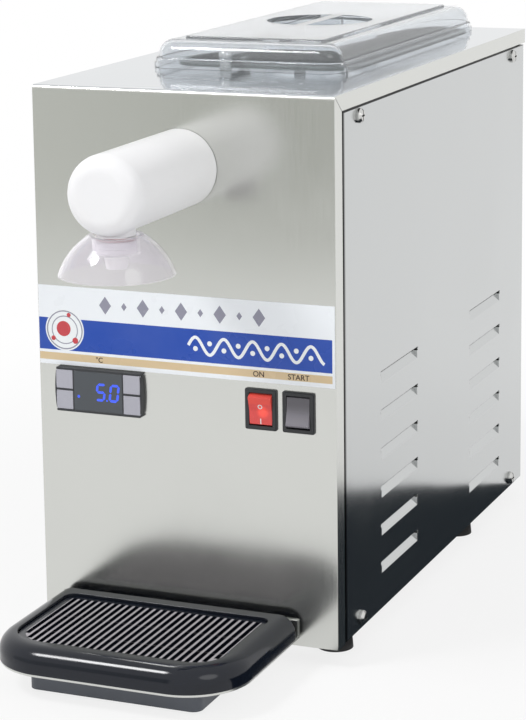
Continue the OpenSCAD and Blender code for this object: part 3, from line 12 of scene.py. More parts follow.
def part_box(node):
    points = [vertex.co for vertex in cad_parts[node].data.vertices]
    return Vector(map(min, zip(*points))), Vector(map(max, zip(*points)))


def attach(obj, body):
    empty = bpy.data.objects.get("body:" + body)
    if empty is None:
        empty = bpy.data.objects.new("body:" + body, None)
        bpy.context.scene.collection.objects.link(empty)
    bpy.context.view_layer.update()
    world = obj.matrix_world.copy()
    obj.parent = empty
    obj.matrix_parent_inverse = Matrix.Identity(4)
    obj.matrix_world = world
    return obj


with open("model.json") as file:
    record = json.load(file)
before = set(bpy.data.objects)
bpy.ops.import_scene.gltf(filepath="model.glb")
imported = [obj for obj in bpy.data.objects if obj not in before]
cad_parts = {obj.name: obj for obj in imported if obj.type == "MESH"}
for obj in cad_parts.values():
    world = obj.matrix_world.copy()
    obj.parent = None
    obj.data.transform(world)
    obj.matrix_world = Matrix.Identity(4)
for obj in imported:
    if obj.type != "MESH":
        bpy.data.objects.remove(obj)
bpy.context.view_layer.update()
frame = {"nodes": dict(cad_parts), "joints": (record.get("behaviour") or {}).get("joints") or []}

bl_info = {
    "name": "Cream whipper",
    "version": (1, 0, 0),
    "blender": (4, 5, 0),
    "location": "View3D > Sidebar > Whipper",
    "description": "Dresses the cream whipping machine and sets up its stage",
    "category": "Object",
}

MM = 0.001
DEGREE = math.pi / 180
PRINT_THICK = 0.04 * MM
MERGE_NEAR = 0.002 * MM
GRAIN_DEPTH = 0.2 * MM
CREVICE = 4 * MM
SEAM_NEAR, SEAM_FAR = 4 * MM, 8 * MM

# How far the grain of a sheet is drawn out along X, Y and Z: a small number means long lines.
FINE_UPRIGHT = (2400, 2400, 30)
UPRIGHT = (900, 900, 14)
LENGTHWISE = (900, 14, 900)
FINE_EVEN = (1500, 1500, 1500)
COARSE_EVEN = (500, 500, 500)


def linear(red, green, blue):
    """A screen colour, 0 to 255, as the linear colour that shaders use."""
    def one(value):
        value /= 255
        return value / 12.92 if value <= 0.04045 else ((value + 0.055) / 1.055) ** 2.4
    return one(red), one(green), one(blue)


def colour(name, description, red, green, blue):
    return FloatVectorProperty(name=name, description=description, subtype="COLOR", size=3,
                               min=0, max=1, default=linear(red, green, blue))


def length(name, description, millimetres):
    return FloatProperty(name=name, description=description, unit="LENGTH", precision=5,
                         default=millimetres * MM)


def angle(name, description, degrees):
    return FloatProperty(name=name, description=description, subtype="ANGLE",
                         default=degrees * DEGREE)


class WhipperFinishes(bpy.types.PropertyGroup):
    """Colours of the machine's finishes."""
    sheet: colour("Sheet steel", "Satin stainless sheet of the casing", 212, 213, 209)
    # Painted shade: the side and rear panels' steel is the sheet steel made darker and cooler.
    side: colour("Side steel", "Stainless sheet of the side and rear panels", 196, 198, 198)
    turned: colour("Turned steel", "Screws, shafts and the spigot", 205, 205, 203)
    head: colour("Head white", "White moulding of the dispensing head", 251, 251, 253)
    clear: colour("Clear plastic", "Tint of the lid", 240, 243, 246)
    milky: colour("Milky plastic", "Tint of the bell", 243, 240, 245)
    shaded: colour("Shaded steel", "Inside of the container, under the lid", 84, 94, 90)
    seal: colour("Seal red", "Red rubber of the seals", 176, 40, 34)
    nozzle: colour("Nozzle white", "White moulding of the nozzle", 232, 232, 230)
    housing: colour("Housing black", "Moulding of the temperature controller", 48, 50, 54)
    lens: colour("Lens charcoal", "Smoked window of the display", 66, 72, 78)
    button: colour("Button grey", "Caps of the controller's buttons", 180, 180, 190)
    digits: colour("Digit blue", "Lit segments of the display", 62, 92, 240)
    switch: colour("Switch black", "Frames of the two rocker switches", 44, 46, 49)
    red_rocker: colour("Rocker red", "Lit rocker that turns the cooling on", 226, 78, 75)
    glow: colour("Rocker glow", "Lamp behind the red rocker", 255, 92, 60)
    dark_rocker: colour("Rocker black", "Rocker that starts the pump", 102, 100, 106)
    legend: colour("Legend white", "Marks on the red rocker", 246, 244, 244)
    strip_white: colour("Strip white", "White ground of the printed strip", 246, 250, 254)
    strip_blue: colour("Strip blue", "Blue band of the printed strip", 34, 78, 178)
    strip_beige: colour("Strip beige", "Beige band under the blue one", 222, 198, 158)
    strip_grey: colour("Strip grey", "Lozenges on the white band", 150, 150, 166)
    strip_red: colour("Strip red", "Dots at the left end", 206, 70, 78)
    ink: colour("Lettering", "Lettering on the beige band", 62, 44, 40)
    tray_rim: colour("Tray black", "Glossy rim of the drip tray", 17, 22, 33)
    # The grid grey is a painted highlight on the tops of the black bars.
    tray_pan: colour("Tray pan", "Matt floor of the drip tray", 96, 100, 108)
    grid: colour("Grid grey", "Bars of the tray's grid", 162, 157, 163)
    rubber: colour("Rubber black", "Feet and mounts", 30, 30, 31)
    copper: colour("Copper", "Pipes of the cooling circuit", 198, 122, 84)
    foam: colour("Foam", "Insulation round the well", 224, 206, 158)
    machine_grey: colour("Motor grey", "Painted housings of the motors", 128, 131, 134)
    machine_black: colour("Compressor black", "Painted shell of the compressor", 34, 35, 37)
    aluminium: colour("Aluminium", "Fins of the condenser", 196, 199, 202)


class WhipperPrint(bpy.types.PropertyGroup):
    """Sizes of the printed strip, the display and the switch marks."""
    beige_low: length("Beige from", "Lower edge of the beige band above the strip's foot", 3.6)
    beige_high: length("Beige to", "Upper edge of the beige band", 9.7)
    blue_low: length("Blue from", "Lower edge of the blue band", 12.2)
    blue_high: length("Blue to", "Upper edge of the blue band", 39.0)
    end_border: length("End border", "White border at the strip's right end", 2.2)
    letter_height: length("Letter height", "Height of the capitals on the beige band", 4.4)
    lozenge: length("Lozenge height", "Height of the large lozenges", 15)
    lozenge_pitch: length("Lozenge pitch", "Distance from one lozenge to the next", 17)
    wave_width: length("Wave stroke", "Stroke of the wave on the blue band", 2.6)
    wave_height: length("Wave height", "Height of the wave, from crest to trough", 14)
    wave_length: length("Wave length", "Distance from crest to crest", 25)
    digit_height: length("Digit height", "Height of the display's digits", 15.2)
    digit_width: length("Digit width", "Width of one digit", 9.0)
    digit_pitch: length("Digit pitch", "Distance from one digit to the next", 12.2)
    digit_stroke: length("Digit stroke", "Width of a lit segment", 2.1)
    digit_slant: angle("Digit slant", "Lean of the digits", 7)
    ring_radius: length("Ring radius", "Radius of the off mark", 2.0)
    mark_stroke: length("Mark stroke", "Stroke of the marks on the rocker", 0.75)
    bar_height: length("Bar height", "Height of the on mark", 4.6)


class WhipperStage(bpy.types.PropertyGroup):
    """Camera and light."""
    camera: FloatVectorProperty(name="Camera", description="Place of the camera", size=3,
                                subtype="TRANSLATION", default=(0.7812, -1.9046, 0.7098))
    yaw: angle("Yaw", "Turn of the camera to its left", 22.447)
    pitch: angle("Pitch", "Tilt of the camera down", 10.215)
    roll: angle("Roll", "Roll of the camera", -0.721)
    lens: FloatProperty(name="Lens", description="Focal length in millimetres", default=119.86)
    shift: FloatProperty(name="Shift", description="Vertical shift of the lens", default=-0.2097)
    key: FloatProperty(name="Key lamp", description="Power of the key lamp in watts", default=41)
    fill: FloatProperty(name="Fill lamp", description="Power of the fill lamp in watts", default=11)
    sky: FloatProperty(name="Sky", description="Strength of the soft light all round", default=0.62)


class Net:
    """A node tree, with short ways to add nodes and join their sockets."""

    def __init__(self, tree):
        self.tree = tree

    def feed(self, socket, value):
        if isinstance(value, bpy.types.NodeSocket):
            self.tree.links.new(value, socket)
        elif socket.type == "RGBA" and len(value) == 3:
            socket.default_value = (*value, 1)
        else:
            socket.default_value = value

    def add(self, kind, values=None, **settings):
        node = self.tree.nodes.new(kind)
        for key, value in settings.items():
            setattr(node, key, value)
        for key, value in (values or {}).items():
            self.feed(node.inputs[key], value)
        return node

    def group(self, name, **values):
        node = self.add("ShaderNodeGroup", node_tree=GROUPS[name]())
        for key, value in values.items():
            self.feed(node.inputs[key], value)
        return node.outputs

    def mix(self, factor, first, second):
        node = self.add("ShaderNodeMix", data_type="RGBA")
        for index, value in ((0, factor), (6, first), (7, second)):
            self.feed(node.inputs[index], value)
        return node.outputs[2]

    def remap(self, value, low, high, start=0.0, end=1.0, smooth=False):
        kind = "SMOOTHSTEP" if smooth else "LINEAR"
        node = self.add("ShaderNodeMapRange", {"Value": value, "From Min": start, "From Max": end,
                                               "To Min": low, "To Max": high}, interpolation_type=kind)
        return node.outputs[0]

    def math(self, operation, first, second=0.0):
        node = self.add("ShaderNodeMath", operation=operation)
        self.feed(node.inputs[0], first)
        self.feed(node.inputs[1], second)
        return node.outputs[0]

    def noise(self, vector, scale, detail=2.0, roughness=0.5):
        node = self.add("ShaderNodeTexNoise", {"Vector": vector, "Scale": scale, "Detail": detail,
                                               "Roughness": roughness})
        return node.outputs[0]

    def place(self):
        return self.add("ShaderNodeTexCoord").outputs["Object"]

    def axes(self):
        return self.add("ShaderNodeSeparateXYZ", {0: self.place()}).outputs

    def bump(self, height, strength, distance=GRAIN_DEPTH, normal=None):
        node = self.add("ShaderNodeBump", {"Height": height, "Strength": strength,
                                           "Distance": distance})
        if normal is not None:
            self.feed(node.inputs["Normal"], normal)
        return node.outputs[0]


FLOAT, VECTOR = "NodeSocketFloat", "NodeSocketVector"
GROUPS = {}


def shared_group(inputs, outputs):
    """Makes a function the maker of a shader group, which is built once, at its first use."""
    def wrap(fill):
        name = fill.__name__

        def make():
            tree = bpy.data.node_groups.get(name)
            if tree is None:
                tree = bpy.data.node_groups.new(name, "ShaderNodeTree")
                for label, kind, value in inputs:
                    socket = tree.interface.new_socket(label, in_out="INPUT", socket_type=kind)
                    socket.default_value = value
                for label, kind in outputs:
                    tree.interface.new_socket(label, in_out="OUTPUT", socket_type=kind)
                net = Net(tree)
                given, result = net.add("NodeGroupInput").outputs, net.add("NodeGroupOutput")
                for label, value in fill(net, given).items():
                    net.feed(result.inputs[label], value)
            return tree
        GROUPS[name] = make
        return fill
    return wrap


@shared_group([("Stretch", VECTOR, UPRIGHT)], [("Tone", FLOAT), ("Height", FLOAT)])
def brushed_grain(net, given):
    """Fine lines drawn out along one axis, as a brushed or rolled sheet has."""
    drawn = net.add("ShaderNodeVectorMath", {0: net.place(), 1: given["Stretch"]},
                    operation="MULTIPLY").outputs[0]
    return {"Tone": net.noise(drawn, 1.0, 3.0, 0.6), "Height": net.noise(drawn, 2.7, 2.0)}


@shared_group([("Radius", FLOAT, 0.6 * MM)], [("Normal", VECTOR), ("Edge", FLOAT)])
def soft_edges(net, given):
    """Rounds sharp edges in the shading and marks where they are."""
    rounded = net.add("ShaderNodeBevel", {"Radius": given["Radius"]}, samples=4).outputs[0]
    flat = net.add("ShaderNodeNewGeometry").outputs["Normal"]
    agree = net.add("ShaderNodeVectorMath", {0: rounded, 1: flat}, operation="DOT_PRODUCT")
    return {"Normal": rounded, "Edge": net.remap(agree.outputs["Value"], 1.0, 0.0, 0.75, 0.99)}


@shared_group([("Scale", FLOAT, 14), ("Low", FLOAT, 0.4), ("High", FLOAT, 0.7)], [("Mask", FLOAT)])
def smudges(net, given):
    """Soft patches where a surface has been wiped or handled."""
    cloud = net.noise(net.place(), given["Scale"], 4.0, 0.55)
    return {"Mask": net.remap(cloud, 0.0, 1.0, given["Low"], given["High"], smooth=True)}


@shared_group([("Scale", FLOAT, 1800)], [("Tone", FLOAT), ("Height", FLOAT)])
def moulded_grain(net, given):
    """Fine even texture of a moulded part, with slow drifts in tone."""
    place = net.place()
    slow = net.math("MULTIPLY", given["Scale"], 0.02)
    return {"Tone": net.noise(place, slow, 3.0), "Height": net.noise(place, given["Scale"], 2.0, 0.6)}


@shared_group([("Low", FLOAT, 0.0), ("High", FLOAT, 1.0)], [("Mask", FLOAT)])
def height_band(net, given):
    """0 below the low height and 1 above the high one."""
    height = net.axes()["Z"]
    return {"Mask": net.remap(height, 0.0, 1.0, given["Low"], given["High"], smooth=True)}


@shared_group([("Reach", FLOAT, CREVICE)], [("Mask", FLOAT)])
def crevice_shade(net, given):
    """1 deep in seams and gaps, where no light comes: a mask for painted shade, from ambient occlusion."""
    open_to_light = net.add("ShaderNodeAmbientOcclusion", {"Distance": given["Reach"]}, samples=6)
    return {"Mask": net.remap(open_to_light.outputs["AO"], 1.0, 0.0, 0.15, 0.6)}


@shared_group([("Scale", FLOAT, 5)], [("Height", FLOAT)])
def sheet_waves(net, given):
    """Slow waves of thin sheet, which bend what it mirrors."""
    return {"Height": net.noise(net.place(), given["Scale"], 1.0, 0.4)}


@shared_group([("From", FLOAT, 0.6), ("To", FLOAT, 0.9)], [("Mask", FLOAT)])
def facing_up(net, given):
    """1 on faces that look up."""
    normal = net.add("ShaderNodeNewGeometry").outputs["Normal"]
    upward = net.add("ShaderNodeSeparateXYZ", {0: normal}).outputs["Z"]
    return {"Mask": net.remap(upward, 0.0, 1.0, given["From"], given["To"], smooth=True)}


def shade(tint, factor):
    return tuple(min(1.0, part * factor) for part in tint[:3])


def new_material(name):
    """A node material with its shader: the net and the Principled BSDF's inputs."""
    material = bpy.data.materials.new(name)
    material.use_nodes = True
    net = Net(material.node_tree)
    return material, net, material.node_tree.nodes["Principled BSDF"].inputs


def cover(net, shader, tint, roughness, normal):
    """Feeds the three sockets that every surface uses."""
    for label, value in (("Base Color", tint), ("Roughness", roughness), ("Normal", normal)):
        net.feed(shader[label], value)


def satin_steel(name, tint, rough, stretch=FINE_UPRIGHT, depth=0.012, polish_and_top_shade=None, edge=0.5 * MM,
                waves=0.0, shadow=None):
    """Stainless steel with a drawn grain. Faces that look up may get a smoother polish and a painted
    reflection that makes them darker and bluer; what lies above one height or near one front edge, in
    the shadow of a seam, and what lies in crevices, is darkened with painted shade."""
    material, net, shader = new_material(name)
    shader["Metallic"].default_value = 1.0
    grain = net.group("brushed_grain", Stretch=stretch)
    wiped = net.group("smudges", Scale=11.0, Low=0.42, High=0.72)["Mask"]
    edges = net.group("soft_edges", Radius=edge)
    tone = net.mix(grain["Tone"], shade(tint, 0.97), shade(tint, 1.02))
    bright = net.mix(edges["Edge"], tone, shade(tint, 1.06))
    # Painted shade: crevices that ambient occlusion finds are darkened.
    gap = net.group("crevice_shade", Reach=CREVICE)["Mask"]
    # Painted shade: above the top height and near the front edge, the steel is darkened as in a seam's
    # shadow.
    if shadow is not None:
        top, front = shadow
        _, along, height = net.axes()
        above = net.math("GREATER_THAN", height, top)
        ahead = net.remap(along, 1.0, 0.0, front + SEAM_NEAR, front + SEAM_FAR)
        gap = net.math("MAXIMUM", gap, net.math("MAXIMUM", above, ahead))
    upward = net.group("facing_up")["Mask"]
    # Painted reflection: faces that look up are tinted darker and bluer.
    if polish_and_top_shade is not None:
        bright = net.mix(upward, bright, (0.87 * tint[0], 0.9 * tint[1], 0.97 * tint[2]))
    # Painted shade is laid on here: crevices and seam shadows go near black.
    bright = net.mix(gap, bright, shade(tint, 0.03))
    roughness = net.math("ADD", net.remap(grain["Tone"], rough - 0.02, rough + 0.02, 0.3, 0.7),
                         net.math("MULTIPLY", wiped, 0.03))
    if polish_and_top_shade is not None:
        smooth = net.remap(wiped, polish_and_top_shade, polish_and_top_shade + 0.03)
        blend = net.add("ShaderNodeMix", data_type="FLOAT")
        for index, value in ((0, upward), (2, roughness), (3, smooth)):
            net.feed(blend.inputs[index], value)
        roughness = blend.outputs[0]
    normal = edges["Normal"]
    if waves:
        normal = net.bump(net.group("sheet_waves")["Height"], 1.0, waves, normal)
    cover(net, shader, bright, roughness, net.bump(grain["Height"], depth, normal=normal))
    return material


def moulding(name, tint, rough, scale=1800.0, depth=0.05, edge=0.5 * MM, worn=1.25, drift=0.06,
             coat=0.0, subsurface=0.0):
    """Moulded plastic, rubber or paint with a fine grain and lighter handled edges."""
    material, net, shader = new_material(name)
    grain = net.group("moulded_grain", Scale=scale)
    wiped = net.group("smudges", Scale=26.0, Low=0.4, High=0.75)["Mask"]
    edges = net.group("soft_edges", Radius=edge)
    tone = net.mix(grain["Tone"], shade(tint, 1 - drift), shade(tint, 1 + drift))
    cover(net, shader, net.mix(edges["Edge"], tone, shade(tint, worn)),
          net.remap(wiped, rough, rough + 0.1),
          net.bump(grain["Height"], depth, normal=edges["Normal"]))
    shader["Coat Weight"].default_value = coat
    shader["Coat Roughness"].default_value = 0.08
    if subsurface:
        shader["Subsurface Weight"].default_value = subsurface
        shader["Subsurface Radius"].default_value = (4 * MM, 4 * MM, 4 * MM)
    return material


def clear_plastic(name, tint, rough, clear):
    """Clear moulding, a little milky, with faint flow marks and wiped patches."""
    material, net, shader = new_material(name)
    shader["Transmission Weight"].default_value = clear
    shader["IOR"].default_value = 1.42
    wiped = net.group("smudges", Scale=20.0, Low=0.4, High=0.75)["Mask"]
    flow = net.group("brushed_grain", Stretch=(30, 30, 60))
    cover(net, shader, net.mix(wiped, tint, shade(tint, 0.97)),
          net.remap(wiped, rough, rough + 0.04), net.bump(flow["Tone"], 0.03, 1.0 * MM))
    return material


def tarnished(name, tint, rough):
    """Bare metal pipe with darker tarnished stretches."""
    material, net, shader = new_material(name)
    shader["Metallic"].default_value = 1.0
    patches = net.group("smudges", Scale=60.0, Low=0.45, High=0.7)["Mask"]
    grain = net.group("moulded_grain", Scale=900.0)
    cover(net, shader, net.mix(patches, tint, shade(tint, 0.62)),
          net.remap(patches, rough, rough + 0.22), net.bump(grain["Height"], 0.06))
    return material


def cellular(name, tint):
    """Cut foam with small open cells."""
    material, net, shader = new_material(name)
    cells = net.add("ShaderNodeTexVoronoi", {"Vector": net.place(), "Scale": 520.0})
    cells = cells.outputs["Distance"]
    drift = net.group("moulded_grain", Scale=700.0)["Tone"]
    tone = net.mix(drift, shade(tint, 0.9), shade(tint, 1.06))
    deep = net.remap(cells, 0.0, 0.5, 0.2, 0.7)
    cover(net, shader, net.mix(deep, tone, shade(tint, 0.6)), net.remap(drift, 0.8, 0.95),
          net.bump(cells, 0.5, 0.6 * MM))
    return material


def dress(material, *nodes):
    """Gives CAD nodes a material."""
    for name in nodes:
        mesh = frame["nodes"][name].data
        mesh.materials.clear()
        mesh.materials.append(material)


def add_object(name, data):
    """A new object in the scene."""
    piece = bpy.data.objects.new(name, data)
    bpy.context.scene.collection.objects.link(piece)
    return piece


def flat_piece(name, loops, face, material, body, matrix=None):
    """A thin print or mark: loops of (x, z) points on the plane y = face, raised towards the front."""
    mesh = bpy.data.meshes.new(name)
    shape = bmesh.new()
    for loop in loops:
        shape.faces.new([shape.verts.new((x, face, z)) for x, z in loop])
    bmesh.ops.remove_doubles(shape, verts=shape.verts[:], dist=MERGE_NEAR)
    raised = bmesh.ops.extrude_face_region(shape, geom=shape.faces[:])["geom"]
    corners = [part for part in raised if isinstance(part, bmesh.types.BMVert)]
    bmesh.ops.translate(shape, verts=corners, vec=(0, -PRINT_THICK, 0))
    bmesh.ops.recalc_face_normals(shape, faces=shape.faces[:])
    if matrix is not None:
        bmesh.ops.transform(shape, matrix=matrix, verts=shape.verts[:])
    shape.to_mesh(mesh)
    shape.free()
    mesh.materials.append(material)
    piece = add_object(name, mesh)
    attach(piece, body)
    return piece


def circle(centre, radius, points=40):
    x, z = centre
    return [(x + radius * math.cos(2 * math.pi * i / points),
             z + radius * math.sin(2 * math.pi * i / points)) for i in range(points)]


def ring(centre, outer, inner, points=48):
    """Loops of a flat ring."""
    far, near = circle(centre, outer, points), circle(centre, inner, points)
    return [[far[i - 1], far[i], near[i], near[i - 1]] for i in range(points)]


def ribbon(path, width):
    """Loops of a flat ribbon of even width along a path."""
    sides = []
    for i, (x, z) in enumerate(path):
        ahead, behind = path[min(i + 1, len(path) - 1)], path[max(i - 1, 0)]
        along = Vector((ahead[0] - behind[0], ahead[1] - behind[1])).normalized() * width / 2
        sides.append(((x - along.y, z + along.x), (x + along.y, z - along.x)))
    return [[a[0], b[0], b[1], a[1]] for a, b in zip(sides, sides[1:])]


def lozenge(centre, height, width):
    x, z = centre
    return [(x - width / 2, z), (x, z - height / 2), (x + width / 2, z), (x, z + height / 2)]


def lettering(name, words, centre, cap, face, material, body):
    """Raised words of a given capital height, centred on a point of the plane y = face."""
    curve = bpy.data.curves.new(name, "FONT")
    curve.body = words
    curve.align_x = "CENTER"
    curve.materials.append(material)
    piece = add_object(name, curve)
    bpy.context.view_layer.update()
    curve.size = cap / piece.dimensions.y
    curve.extrude = PRINT_THICK
    curve.offset = cap * 0.018
    piece.rotation_euler = (math.pi / 2, 0, 0)
    piece.location = (centre[0], face - PRINT_THICK, centre[1] - cap / 2)
    bpy.context.view_layer.update()
    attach(piece, body)
    return piece


class WHIPPER_OT_cabinet(bpy.types.Operator):
    """Sheet steel of the cabinet, its screws, feet and gland"""
    bl_idname = "whipper.cabinet"
    bl_label = "Cabinet"

    LIP_SEAM = 0.6 * MM

    def execute(self, context):
        finish = context.scene.whipper_finishes
        # The top's upward faces carry the painted reflection.
        dress(satin_steel("front_and_top_sheet", finish.sheet, 0.19, polish_and_top_shade=0.05, waves=0.6 * MM),
              "casing")
        # The side panels get painted shade under the lip and along the front edge.
        low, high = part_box("right_side_panel")
        seam = (high.z - self.LIP_SEAM, low.y)
        dress(satin_steel("side_sheet", finish.side, 0.15, waves=2 * MM, shadow=seam),
              "left_side_panel", "right_side_panel")
        dress(satin_steel("rear_sheet", finish.side, 0.15, waves=2 * MM), "rear_panel")
        dress(satin_steel("inner_sheet", finish.sheet, 0.3, LENGTHWISE),
              "base_plate", "tray_support")
        # Painted shade: the top rails are painted black, so the gap under the lip reads dark.
        dress(moulding("rail_painted_shade", finish.machine_black, 0.5, scale=700.0, depth=0.1), "top_rails")
        dress(satin_steel("screw_steel", finish.turned, 0.2, FINE_EVEN, edge=0.3 * MM),
              "side_panel_screws", "rear_panel_screws", "foot_screws", "tray_support_screws")
        dress(moulding("foot_rubber", finish.rubber, 0.6, scale=900.0, depth=0.12), "rubber_feet")
        dress(moulding("gland_black", finish.housing, 0.45), "cable_gland")
        return {"FINISHED"}


class WHIPPER_OT_printed_strip(bpy.types.Operator):
    """Bands, ornament and lettering of the strip across the front"""
    bl_idname = "whipper.printed_strip"
    bl_label = "Printed strip"

    LOZENGES, FIRST_LOZENGE = 9, -70 * MM
    SMALL_LOZENGE, LOZENGE_SLIM = 0.45, 0.72
    WAVE_START, WAVE_END, WAVE_STEP = 4 * MM, 122 * MM, 0.8 * MM
    CRESTS, WAVE_DOT, DOT_DROP = 5, 2.1 * MM, 0.35
    DISC_IN, DISC_UP, DISC_RADIUS = 23.5 * MM, 4 * MM, 17.6 * MM
    DISC_RINGS = ((16.4 * MM, 15.4 * MM, 72), (12.0 * MM, 11.2 * MM, 60))
    RED_DOTS = ((-1.0, 1.0, 6.4), (9.5, -8.5, 2.6), (-10.5, -7.5, 2.0), (4.0, 12.8, 1.8))
    LABELS = (("strip_degree", "°C", -76.5 * MM), ("strip_on", "ON", 65.2 * MM),
              ("strip_start", "START", 99.5 * MM))

    def bands(self, finish, size, low, high):
        material, net, shader = new_material("strip_film")
        x, _, z = net.axes()
        ramp = net.add("ShaderNodeValToRGB")
        ramp.color_ramp.interpolation = "CONSTANT"
        tall = high.z - low.z
        edges = [(0.0, finish.strip_white), (size.beige_low, finish.strip_beige),
                 (size.beige_high, finish.strip_white), (size.blue_low, finish.strip_blue),
                 (size.blue_high, finish.strip_white)]
        stops = ramp.color_ramp.elements
        while len(stops) < len(edges):
            stops.new(1.0)
        for stop, (height, tint) in zip(stops, edges):
            stop.position = height / tall
            stop.color = (*tint, 1)
        net.feed(ramp.inputs[0], net.remap(z, 0.0, 1.0, low.z, high.z))
        border = net.math("GREATER_THAN", x, high.x - size.end_border)
        drift = net.group("moulded_grain", Scale=1200.0)
        printed = net.mix(border, ramp.outputs[0], finish.strip_white)
        faded = net.mix(net.remap(drift["Tone"], 0.0, 0.025, 0.3, 0.7), printed, finish.strip_white)
        shader["Specular IOR Level"].default_value = 0.35
        wiped = net.group("smudges", Scale=18.0, Low=0.3, High=0.8)["Mask"]
        cover(net, shader, faded, net.remap(wiped, 0.26, 0.32), net.bump(drift["Height"], 0.03))
        return material

    def lozenges(self, size, height):
        """Loops of a row of large and small lozenges by turns."""
        loops = []
        for i in range(self.LOZENGES):
            tall = size.lozenge if i % 2 == 0 else size.lozenge * self.SMALL_LOZENGE
            centre = (self.FIRST_LOZENGE + i * size.lozenge_pitch, height)
            loops.append(lozenge(centre, tall, tall * self.LOZENGE_SLIM))
        return loops

    def wave(self, size, middle):
        """Loops of the wave on the blue band and of the dots in its bends."""
        swing = size.wave_height / 2
        count = int((self.WAVE_END - self.WAVE_START) / self.WAVE_STEP)
        path = []
        for i in range(count + 1):
            run = i * self.WAVE_STEP
            rise = swing * math.sin(2 * math.pi * run / size.wave_length)
            path.append((self.WAVE_START + run, middle + rise))
        dots, half = [], size.wave_length / 2
        for i in range(self.CRESTS):
            x = self.WAVE_START + size.wave_length * (0.25 + i)
            dots.append(circle((x, middle - swing * self.DOT_DROP), self.WAVE_DOT, 28))
            if x + half < self.WAVE_END:
                dots.append(circle((x + half, middle + swing * self.DOT_DROP), self.WAVE_DOT, 28))
        return ribbon(path, size.wave_width), dots

    def execute(self, context):
        finish, size = context.scene.whipper_finishes, context.scene.whipper_print
        low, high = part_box("printed_strip")
        face = low.y
        dress(self.bands(finish, size, low, high), "printed_strip")

        def ink(name, tint):
            return moulding(name, tint, 0.26, scale=1500.0, depth=0.02, edge=0.05 * MM, worn=1.0,
                            drift=0.04)

        def printed(name, loops, material, layer=0):
            flat_piece(name, loops, face - layer * PRINT_THICK, material, "cabinet")

        white_ink = ink("strip_white_ink", finish.strip_white)
        grey_ink = ink("strip_grey_ink", finish.strip_grey)
        upper = (low.z + size.blue_high + high.z) / 2
        printed("strip_lozenges", self.lozenges(size, upper), grey_ink)
        middle = low.z + (size.blue_low + size.blue_high) / 2
        wave, dots = self.wave(size, middle)
        printed("strip_wave", wave, white_ink)
        printed("strip_wave_dots", dots, white_ink)
        hub = (low.x + self.DISC_IN, middle + self.DISC_UP)
        printed("strip_disc", [circle(hub, self.DISC_RADIUS, 72)], white_ink)
        rings = [loop for outer, inner, points in self.DISC_RINGS
                 for loop in ring(hub, outer, inner, points)]
        printed("strip_disc_rings", rings, grey_ink, 1)
        seeds = [circle((hub[0] + x * MM, hub[1] + z * MM), radius * MM, 36)
                 for x, z, radius in self.RED_DOTS]
        printed("strip_red_dots", seeds, ink("strip_red_ink", finish.strip_red), 2)
        beige = low.z + (size.beige_low + size.beige_high) / 2
        dark_ink = ink("strip_dark_ink", finish.ink)
        for name, words, at in self.LABELS:
            lettering(name, words, (at, beige), size.letter_height, face, dark_ink, "cabinet")
        return {"FINISHED"}


class WHIPPER_OT_controller(bpy.types.Operator):
    """Temperature controller with its buttons, window and lit digits"""
    bl_idname = "whipper.controller"
    bl_label = "Temperature controller"

    SEGMENTS = {"5": "afgcd", "0": "abcdef"}
    DIGITS_X, LEAN_SHIFT, POINT_SHIFT = -67.3 * MM, 0.06, 0.4 * MM
    LAMP_X, LAMP_UP, LAMP_RADIUS = -93.6 * MM, 11.5 * MM, 1.2 * MM

    def digit(self, size, which, left, foot):
        """Loops of one seven-segment digit."""
        tall, wide, stroke = size.digit_height, size.digit_width, size.digit_stroke
        half, gap = stroke / 2, stroke * 0.1

        def bar(ax, az, bx, bz):
            along = Vector((bx - ax, bz - az)).normalized()
            across = Vector((-along.y, along.x)) * half
            start, end = Vector((ax, az)) + along * gap, Vector((bx, bz)) - along * gap
            inset = along * half
            points = [start, start + inset + across, end - inset + across, end,
                      end - inset - across, start + inset - across]
            lean = math.tan(size.digit_slant)
            return [(left + p.x + p.y * lean, foot + p.y) for p in points]

        l, r, b, m, t = half, wide - half, half, tall / 2, tall - half
        ends = {"a": (l, t, r, t), "b": (r, t, r, m), "c": (r, m, r, b), "d": (l, b, r, b),
                "e": (l, m, l, b), "f": (l, t, l, m), "g": (l, m, r, m)}
        return [bar(*ends[name]) for name in self.SEGMENTS[which]]

    def execute(self, context):
        finish, size = context.scene.whipper_finishes, context.scene.whipper_print
        dress(moulding("controller_black", finish.housing, 0.42, scale=1600.0, depth=0.08,
                       edge=0.6 * MM, worn=1.6), "controller_housing")
        dress(moulding("window_charcoal", finish.lens, 0.16, scale=1200.0, depth=0.01,
                       edge=0.4 * MM, worn=1.3, drift=0.05, coat=0.4), "display_lens")
        dress(moulding("button_grey", finish.button, 0.42, scale=1500.0, depth=0.06,
                       edge=0.8 * MM, worn=1.18),
              "set_button", "standby_button", "up_button", "down_button")
        lit, net, shader = new_material("lit_segments")
        glow = net.group("moulded_grain", Scale=4000.0)["Tone"]
        blue = finish.digits
        net.feed(shader["Base Color"], net.mix(glow, shade(blue, 0.5), shade(blue, 0.6)))
        net.feed(shader["Emission Color"], net.mix(glow, shade(blue, 0.94), shade(blue, 1.1)))
        shader["Emission Strength"].default_value = 0.8
        net.feed(shader["Roughness"], net.remap(glow, 0.3, 0.4))
        low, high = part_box("display_lens")
        foot = (low.z + high.z) / 2 - size.digit_height / 2
        half_run = (size.digit_pitch + size.digit_width) / 2
        left = self.DIGITS_X - half_run - size.digit_height * self.LEAN_SHIFT
        loops = self.digit(size, "5", left, foot)
        loops += self.digit(size, "0", left + size.digit_pitch, foot)
        point = (left + half_run + self.POINT_SHIFT, foot + size.digit_stroke / 2)
        loops.append(circle(point, 0.4 * size.digit_stroke, 20))
        flat_piece("display_digits", loops, low.y, lit, "cabinet")
        lamp = circle((self.LAMP_X, low.z + self.LAMP_UP), self.LAMP_RADIUS, 24)
        flat_piece("display_lamp", [lamp], low.y, lit, "cabinet")
        return {"FINISHED"}


